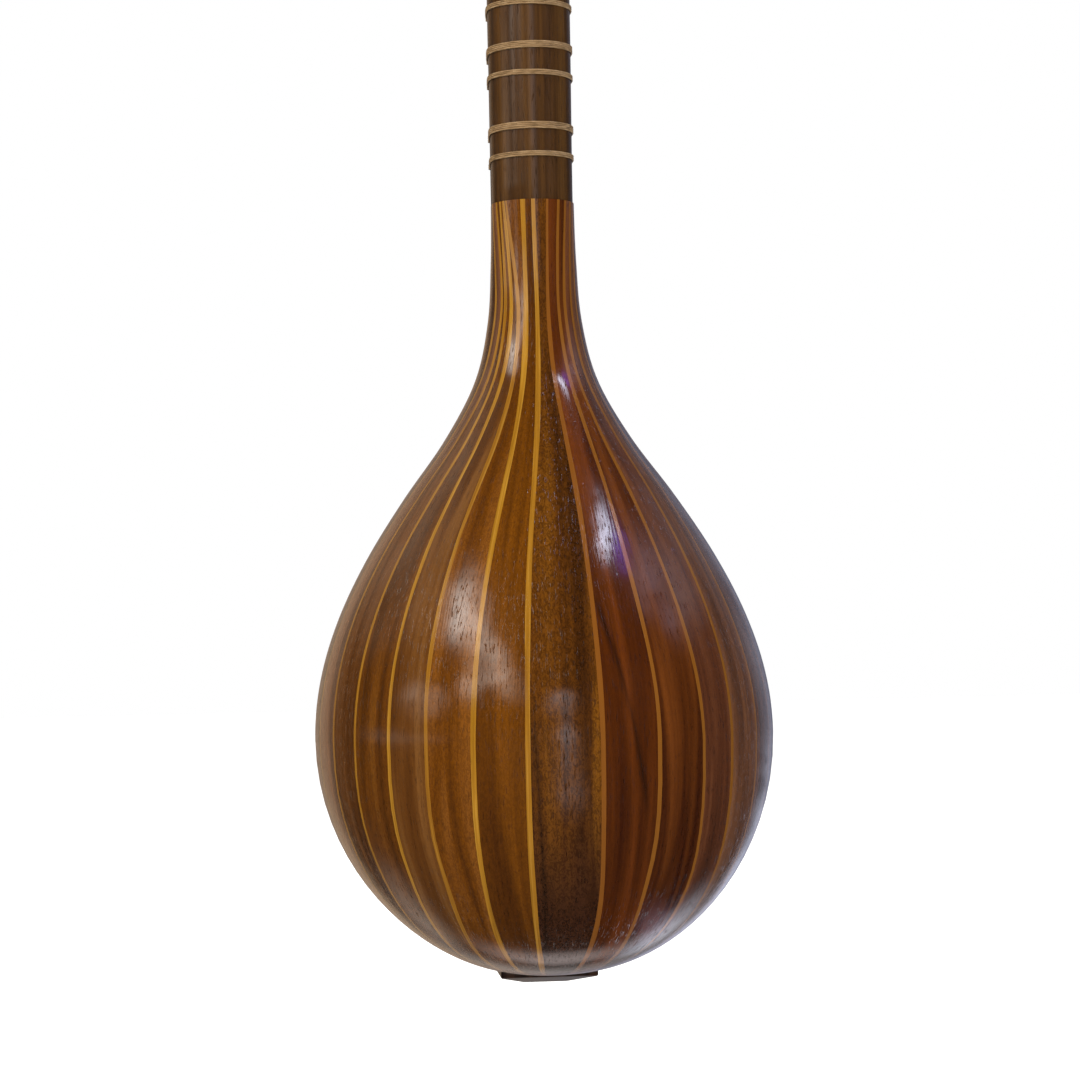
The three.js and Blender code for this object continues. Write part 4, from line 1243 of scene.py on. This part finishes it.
def buildTailpiece(dark):
    front = -fittings["tailForward"]
    back = fittings["tailBackward"]
    top = tailZ + fittings["tailRise"]
    profile = [(front, 0.0), (fittings["tailFoot"], 0.0), (back, tailZ - fittings["tailEdge"]), (back, top),
               (front, top)]
    wedge = loftMesh("tailPiece", [[Vector((side * tailHalf, y, z)) for y, z in profile] for side in (-1, 1)])
    # below each end the wood is pared away, in a slope from the foot to the end's lower edge
    foot = fittings["tailFootHalf"]
    reach = fittings["paringReach"]
    slope = fittings["tailEndRise"] / (tailHalf - foot)
    under = [(foot, 0.0), (foot, -reach), (tailHalf + reach, -reach),
             (tailHalf + reach, fittings["tailEndRise"] + reach * slope)]
    for side in (-1, 1):
        loops = [[Vector((side * x, y, z)) for x, z in under] for y in fittings["paringSpan"]]
        combine(wedge, "DIFFERENCE", loftMesh("paring", loops))
    softenEdges(wedge, fittings["tailSoft"], 3, fittings["tailSoftAngle"])
    # then it is hollowed to fit the bowl and the soundboard
    gap = fittings["fitGap"]
    sides = fittings["bowlSides"]
    outside = [[bowlPoint(station, mix(-math.pi, math.pi, i / sides), -gap) for i in range(sides)]
               for station in [(0.01, 0.0)] + stations[:len(stations) // 2]]
    plate = boardOutline(-gap)
    loops = [[Vector((p.x, y, p.z)) for p in plate] for y in (boardFront - fittings["boardShapeDepth"], 0.0)]
    combine(wedge, "DIFFERENCE", loftMesh("bowlShape", outside), loftMesh("boardShape", loops))
    radius = fittings["studRadius"]
    profile = [(radius, fittings["studRoot"])]
    profile += [(radius * wide, -fittings["studLength"] * out) for wide, out in fittings["studProfile"]]
    studs = []
    for x in studPlaces:
        loops = turnedLoops(profile, fittings["studSides"],
                            lambda a, b, c: Vector((x + a, front + c, fittings["studHeight"] + b)))
        studs.append(loftMesh("stud", loops, fittings["studSharp"]))
    piece = joinMeshes("tailPiece", [wedge] + studs)
    shadeSmooth(piece.data, fittings["tailSharp"])
    finishPiece(piece, "tailpiece", dark)


wire = {
    "linesPerMetre": (9000, 9000, 120),
    "roughness": (0.2, 0.36),
    "names": {"steel": ("steelWire", "#c2c6ca"), "brass": ("brassWire", "#caa04a")},
}


def wireMaterial(name, colour):
    # Drawn wire: fine lines along it, which the eye sees as a soft sheen
    material, tree, shader = startMaterial(name)
    place = addNode(tree, "TexCoord").outputs["Object"]
    place = addNode(tree, "Mapping", {"Vector": place, "Scale": wire["linesPerMetre"]}).outputs[0]
    lines = addNode(tree, "TexNoise", {"Vector": place, "Scale": 1.0}).outputs["Fac"]
    low, high = wire["roughness"]
    rough = addNode(tree, "MapRange", {"Value": lines, "To Min": low, "To Max": high}).outputs[0]
    setSockets(tree, shader, {"Base Color": toLinear(colour), "Metallic": 1.0, "Roughness": rough})
    return material


def stringPath(index, radius, seat):
    stud = Vector((studPlaces[index], -fittings["tailForward"] - fittings["studLength"] / 2,
                   fittings["studHeight"]))
    loop = fittings["studRadius"] + radius + winding["touch"]
    start = stud + Vector((loop, 0, 0))
    bridgeAt = Vector((bridgePlaces[index], bridgeStringY, (bridgeLow.z + bridgeHigh.z) / 2))
    nutAt = Vector((nutPlaces[index], nutStringY, nutHigh.z))
    toBridge = (bridgeAt - start).normalized()
    side = toBridge.orthogonal().normalized()
    up = toBridge.cross(side)
    path = []
    for share in evenly(1, 0, winding["twistTurns"] * winding["twistSteps"]):
        angle = 2 * math.pi * winding["twistTurns"] * share
        centre = start + toBridge * (winding["twistAt"] + winding["twistLength"] * share)
        around = side * math.cos(angle) + up * math.sin(angle)
        path.append(centre + around * (winding["twistRadii"] * radius))
    for share in evenly(0, 1, winding["steps"]):
        angle = 2 * math.pi * share * winding["loopTurn"] + math.pi / 2
        path.append(stud + Vector((math.cos(angle), 0, math.sin(angle))) * loop)
    path += [mix(start, bridgeAt, share) for share in winding["toBridge"]]
    path += [mix(bridgeAt, nutAt, share) for share in winding["toNut"]]
    reach = peg["radius"] + radius + winding["touch"]
    across = nutAt.x - seat["x"] if seat["front"] else nutAt.y - seat["y"]
    below = nutAt.z - seat["z"]
    begin = math.atan2(below, across) - math.acos(reach / math.hypot(across, below))
    entry = winding["turnsInPart"] * (2 * radius + winding["gapInPart"])
    turns = int(entry / (winding["closeness"] * radius))
    for share in evenly(0, 1, turns * winding["steps"]):
        angle = begin - 2 * math.pi * turns * share
        along = -(winding["standoff"] + entry * (1 - share))
        path.append(placeOnPeg(seat)(reach * math.cos(angle), reach * math.sin(angle), along))
    return path


def buildStrings():
    wires = {kind: wireMaterial(name, colour) for kind, (name, colour) in wire["names"].items()}
    for index, (node, string) in enumerate(strings.items()):
        radius = string["radius"]
        seat = next(seat for seat in pegSeats if seat["node"] == string["peg"])
        loops = tubeLoops(stringPath(index, radius, seat), radius, winding["sides"])
        finishPiece(loftMesh(camelName(node), loops, roundSharp), node, wires[string["wire"]])


# Tied frets of gut
fret = {
    "radius": 0.00031,
    "pitch": 0.00062,
    "wide": 4,
    # a band that takes more height than this is a wide one
    "wideFrom": 0.002,
    "narrow": 3,
    "lift": 0.00004,
    # the neck grows a little upwards, so a loop is made to fit it at the upper end of its slide
    "slide": 0.002,
    "foot": 0.0004,
    "cornerRound": 0.0005,
    "cornerSteps": 5,
    "frontShares": (0.6, 0.2, -0.2, -0.6),
    # the last points of a turn, on which it steps on to the next one
    "stepPoints": 5,
    "lean": 0.012,
    "sides": 8,
    "knotAt": (-0.0009, 0.0004, 0),
    "knotSize": 0.00036,
    "knotFlat": 0.8,
    "knotSteps": 60,
}
# Twisted gut, dried and rubbed: honey-coloured and half dull, with fine slanting strands
gut = {
    "perMetre": (300, 300, 1600),
    "turn": (0.2, 0, 0.3),
    "detail": 2.0,
    "stops": [(0.3, "#6a5334"), (0.5, "#856a48"), (0.7, "#977e5c")],
    "bump": 0.15,
    "bumpDepth": 0.0001,
    "roughness": 0.5,
    "ior": 1.52,
}


def gutOutline(z):
    # round the neck's back and over the fingerboard, at the middle of the gut
    corner = fret["cornerRound"]
    right = [(neckFrontHalf, -fret["foot"])]
    for angle in evenly(0, -math.pi / 2, fret["cornerSteps"]):
        right.append((neckFrontHalf - corner + corner * math.cos(angle),
                      boardFront + corner + corner * math.sin(angle)))
    front = [(neckFrontHalf * share, boardFront) for share in fret["frontShares"]]
    outline = neckBack(z + fret["slide"]) + right + front + [(-x, y) for x, y in reversed(right)]
    # starts and ends at the foot of the -X side
    shift = fret["radius"] + fret["lift"]
    moved = []
    for i, (x, y) in enumerate(outline):
        x0, y0 = outline[i - 1]
        x1, y1 = outline[(i + 1) % len(outline)]
        length = math.hypot(x1 - x0, y1 - y0)
        moved.append((x - (y1 - y0) / length * shift, y + (x1 - x0) / length * shift))
    return moved


def knotPoints(at):
    # a small knot: a curve with three loops
    size = fret["knotSize"]
    flat = size * fret["knotFlat"]
    points = []
    for t in evenly(0, 2 * math.pi, fret["knotSteps"]):
        points.append(at + Vector((-size * math.sin(3 * t), flat * (math.sin(t) + 2 * math.sin(2 * t)),
                                   flat * (math.cos(t) - 2 * math.cos(2 * t)))))
    return points


def buildFrets():
    material = patched("twistedGut", gut)
    chance = random.Random(7)
    for node in sorted(name for name in nodes if name.startswith("fret_")):
        low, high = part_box(node)
        z = (low.z + high.z) / 2
        turns = fret["wide"] if high.z - low.z > fret["wideFrom"] else fret["narrow"]
        outline = gutOutline(z)
        lean = chance.uniform(-fret["lean"], fret["lean"])
        path = []
        for turn in range(turns):
            level = z + (turn - (turns - 1) / 2) * fret["pitch"]
            for i, (x, y) in enumerate(outline):
                share = 1 - (len(outline) - i) / fret["stepPoints"]
                step = smooth(share) if turn < turns - 1 else 0.0
                path.append(Vector((x, y, level + fret["pitch"] * step + lean * x)))
        knot = knotPoints(path[0] + Vector(fret["knotAt"]))
        bands = [loftMesh(name, tubeLoops(line, fret["radius"], fret["sides"]), roundSharp)
                 for name, line in (("band", path), ("tie", knot))]
        finishPiece(joinMeshes(camelName(node), bands), node, material, node)


dark = wood("polishedHardwood", {**hardwood, "turn": alongNeck})
buildFingerboard(dark)
buildNut()
buildBridge(dark)
buildTailpiece(dark)
buildStrings()
buildFrets()
print("fittings, strings and frets built")

# Blocks and brace of bare willow inside the bowl: pale, dull and open-pored
bare = wood("bareWillow", {**soundboard["look"], "shades": ("#b89c6c", "#c7ad7f", "#d6c199"),
                           "poreColour": "#8a6c40", "roughness": 0.65})
for name in ("neck_block", "tail_block", "soundboard_brace"):
    assign(nodes[name], bare)

# Stage: pale floor below the hanging instrument, white all round, and a dark room that only the gloss sees
stage = {
    "floorZ": -0.06,
    "floorSize": 12.0,
    "floorColour": "#f2f2f0",
    "floorRoughness": 0.9,
    "floorGlow": 0.5,
    "ambient": 0.64,
}
room = {
    "centre": (0.0, 0.05, 0.12),
    "foot": (0.0, 0.02, 0.02),
    "radius": 2.0,
    "columns": 60,
    "rows": 30,
    "floorGap": 0.004,
    "dark": 0.012,
    "rim": 0.5,
    # the pale part behind the instrument, by the heading's Y, and how far its two hues spread in X
    "rimSpan": (-0.72, -0.93),
    "hueSpan": (-0.3, 0.3),
    "warm": "#f2d2b0",
    "cool": "#7f86a2",
    "cloudScale": 3.0,
    "cloudSpan": (0.35, 0.6),
    "cloudDark": 0.25,
    # a window fades out from this share of its half size to its edge
    "fade": (1.0, 0.2),
}
# Soft windows and lamps of the room: azimuth from +Y towards +X and elevation, half sizes across and up, and
# tilt, all in degrees, then strength and colour
windows = [
    (73, 46, 17, 13, 0, 8.0, "#fff6ec"),
    (46, 36, 32, 12, -42, 6.0, "#fff4e6"),
    (80, 15, 18, 9, 0, 2.6, "#fff4e6"),
    (90, 2, 34, 3.5, 0, 0.8, "#fff4e6"),
    (130, 38, 34, 24, 0, 0.6, "#ffe9d0"),
    (54, 25, 9, 13, 0, 6.0, "#fff4e6"),
    (-1, 17, 12, 10, 0, 2.4, "#f4f6ff"),
    (-3, 2, 9, 9, 0, 2.0, "#f4f6ff"),
    (-4, -7, 12, 8, 0, 1.0, "#f4f6ff"),
    (-78, 62, 10, 4, 0, 24.0, "#dfe6ff"),
    (-84, 56, 9, 4.5, 0, 7.0, "#7a62ff"),
    (-89, 47, 18, 10, 0, 1.2, "#d8dcff"),
    (-87, 37, 7, 6, 0, 1.4, "#cfc4e4"),
    (-108, 36, 26, 12, 0, 0.7, "#e8ecff"),
    (-146, 8, 24, 40, 0, 0.42, "#d4d6e8"),
    (-156, -12, 26, 14, 0, 0.7, "#e6eaff"),
    (-122, -37, 26, 20, 0, 1.6, "#dfe4f4"),
    (120, -31, 26, 18, 0, 0.7, "#f2dcc8"),
    (180, -76, 48, 24, 0, 1.2, "#ecdcd8"),
    (165, -12, 30, 10, 0, 0.15, "#ffe4c8"),
    (-95, -42, 34, 10, 0, 0.7, "#d8b0c8"),
    (180, -38, 90, 20, 0, 0.35, "#f0e8e2"),
]


def headingAt(azimuth, elevation):
    turn, lift = math.radians(azimuth), math.radians(elevation)
    return Vector((math.sin(turn) * math.cos(lift), math.cos(turn) * math.cos(lift), math.sin(lift)))


def roomMaterial():
    # Dark cloth with soft lights, which only the varnish gives back
    material = bpy.data.materials.new("darkCloth")
    tree = emptyTree(material)
    position = addNode(tree, "NewGeometry").outputs["Position"]
    heading = addNode(tree, "VectorMath", {0: position, 1: room["foot"]}, operation="SUBTRACT").outputs[0]
    heading = addNode(tree, "VectorMath", {0: heading}, operation="NORMALIZE").outputs[0]
    # what lies behind the instrument is paler, warm on the +X side and cool on the other
    split = addNode(tree, "SeparateXYZ", {"Vector": heading}).outputs
    low, high = room["rimSpan"]
    rim = addNode(tree, "MapRange", {"Value": split["Y"], "From Min": low, "From Max": high,
                                     "To Min": room["dark"], "To Max": room["rim"]},
                  interpolation_type="SMOOTHSTEP").outputs[0]
    low, high = room["hueSpan"]
    side = addNode(tree, "MapRange", {"Value": split["X"], "From Min": low, "From Max": high}).outputs[0]
    hue = addNode(tree, "Mix", {"Factor": side, 6: toLinear(room["cool"]), 7: toLinear(room["warm"])},
                  data_type="RGBA").outputs[2]
    light = addNode(tree, "VectorMath", {0: hue, 3: rim}, operation="SCALE").outputs[0]
    cloud = addNode(tree, "TexNoise", {"Vector": position, "Scale": room["cloudScale"],
                                       "Detail": 3.0}).outputs["Fac"]
    low, high = room["cloudSpan"]
    cloud = addNode(tree, "MapRange", {"Value": cloud, "From Min": low, "From Max": high,
                                       "To Min": room["cloudDark"]}).outputs[0]
    edge, full = room["fade"]
    for azimuth, elevation, halfWide, halfHigh, tilt, strength, colour in windows:
        sockets = {
            "Vector": heading,
            "Location": headingAt(azimuth, elevation),
            "Rotation": [math.radians(angle) for angle in (elevation, tilt, -azimuth)],
            "Scale": (math.radians(halfWide), 1.0, math.radians(halfHigh)),
        }
        local = addNode(tree, "Mapping", sockets, vector_type="TEXTURE").outputs[0]
        out = addNode(tree, "VectorMath", {0: local}, operation="LENGTH").outputs["Value"]
        lit = addNode(tree, "MapRange", {"Value": out, "From Min": edge, "From Max": full,
                                         "To Max": strength}, interpolation_type="SMOOTHSTEP").outputs[0]
        lit = addNode(tree, "Math", {0: lit, 1: cloud}, operation="MULTIPLY").outputs[0]
        tinted = addNode(tree, "VectorMath", {0: toLinear(colour)[:3], 3: lit}, operation="SCALE").outputs[0]
        light = addNode(tree, "VectorMath", {0: light, 1: tinted}, operation="ADD").outputs[0]
    emission = addNode(tree, "Emission", {"Color": light})
    addNode(tree, "OutputMaterial", {"Surface": emission.outputs[0]})
    return material


def buildRoom():
    centre = Vector(room["centre"])
    floorLevel = stage["floorZ"] + room["floorGap"]
    low = math.degrees(math.asin((floorLevel - centre.z) / room["radius"]))
    points = []
    for azimuth in evenly(-180, 180, room["columns"]):
        points.append(Vector((centre.x, centre.y, floorLevel)))
        points += [centre + headingAt(azimuth, elevation) * room["radius"]
                   for elevation in evenly(low, 90, room["rows"])]
    size = room["rows"] + 2
    faces = []
    for c in range(room["columns"]):
        for r in range(room["rows"] + 1):
            faces.append((c * size + r, c * size + r + 1, (c + 1) * size + r + 1, (c + 1) * size + r))
    screen = meshObject("darkRoom", points, faces)
    assign(screen, roomMaterial())
    screen.visible_camera = False
    screen.visible_diffuse = False
    screen.visible_transmission = False
    screen.visible_shadow = False


def buildStage():
    outline = rectangle(stage["floorSize"] / 2, -stage["floorSize"] / 2, stage["floorSize"] / 2)
    floor = meshObject("floor", [(x, y, stage["floorZ"]) for x, y in outline], [(0, 1, 2, 3)])
    material, tree, shader = startMaterial("paintedFloor")
    rays = addNode(tree, "LightPath").outputs
    glow = addNode(tree, "Math", {0: rays["Is Camera Ray"], 1: stage["floorGlow"]}, operation="MULTIPLY")
    setSockets(tree, shader, {
        "Base Color": toLinear(stage["floorColour"]),
        "Roughness": stage["floorRoughness"],
        "Emission Color": (1, 1, 1, 1),
        "Emission Strength": glow.outputs[0],
    })
    assign(floor, material)

    world = bpy.data.worlds.new("studio")
    scene.world = world
    tree = emptyTree(world)
    rays = addNode(tree, "LightPath").outputs
    seen = addNode(tree, "Math", {0: rays["Is Camera Ray"], 1: rays["Is Glossy Ray"]},
                   operation="MAXIMUM").outputs[0]
    seen = addNode(tree, "Math", {0: seen, 1: rays["Is Transmission Ray"]}, operation="MAXIMUM").outputs[0]
    level = addNode(tree, "MapRange", {"Value": seen, "To Min": stage["ambient"], "To Max": 1.0}).outputs[0]
    background = addNode(tree, "Background", {"Color": (1, 1, 1, 1), "Strength": level})
    addNode(tree, "OutputWorld", {"Surface": background.outputs[0]})
    scene.view_settings.view_transform = "Standard"


# Lamps: place, aim, size, power in watts and colour
lamps = {
    "keyLamp": ((1.0, 1.1, 1.8), (0, 0.04, 0.16), (0.7, 0.7), 38, "#fff4e4"),
    "fillLamp": ((-1.3, 1.2, 0.7), (0, 0.04, 0.2), (0.6, 0.9), 14, "#eef2ff"),
    "lowLamp": ((0.25, 1.1, 0.02), (0, 0.05, 0.02), (0.9, 0.12), 3, "#fff4e4"),
    "frontLamp": ((0.4, -1.6, 1.2), (0, 0, 0.4), (0.9, 0.9), 12, "#ffffff"),
}


def pointAt(holder, place, aim):
    # an object that looks along its own -Z
    holder.location = place
    holder.rotation_euler = (Vector(aim) - Vector(place)).to_track_quat("-Z", "Y").to_euler()
    scene.collection.objects.link(holder)


def buildLamps():
    for name, (place, aim, size, power, colour) in lamps.items():
        light = bpy.data.lights.new(name, "AREA")
        light.shape = "RECTANGLE"
        light.size, light.size_y = size
        light.energy = power
        light.color = toLinear(colour)[:3]
        holder = bpy.data.objects.new(name, light)
        holder.visible_glossy = False
        pointAt(holder, place, aim)


# Camera: behind the instrument, a little towards +X, a little above the bowl's widest place
camera = {
    "azimuth": 4.84,
    "distance": 1.02,
    "height": 0.1241,
    "aim": (-0.00025, 0.0134, 0.15628),
    "lens": 96.5,
    "sensor": 36.0,
    "clipStart": 0.01,
    "roll": -1.16,
}


def buildCamera():
    data = bpy.data.cameras.new("backView")
    data.sensor_width = camera["sensor"]
    data.lens = camera["lens"]
    data.clip_start = camera["clipStart"]
    holder = bpy.data.objects.new("backView", data)
    turn = math.radians(camera["azimuth"])
    distance = camera["distance"]
    place = (distance * math.sin(turn), widestY + distance * math.cos(turn), camera["height"])
    pointAt(holder, place, camera["aim"])
    holder.rotation_euler.rotate_axis("Z", math.radians(camera["roll"]))
    scene.camera = holder


buildStage()
buildRoom()
buildLamps()
buildCamera()
print("stage, lamps and camera set")
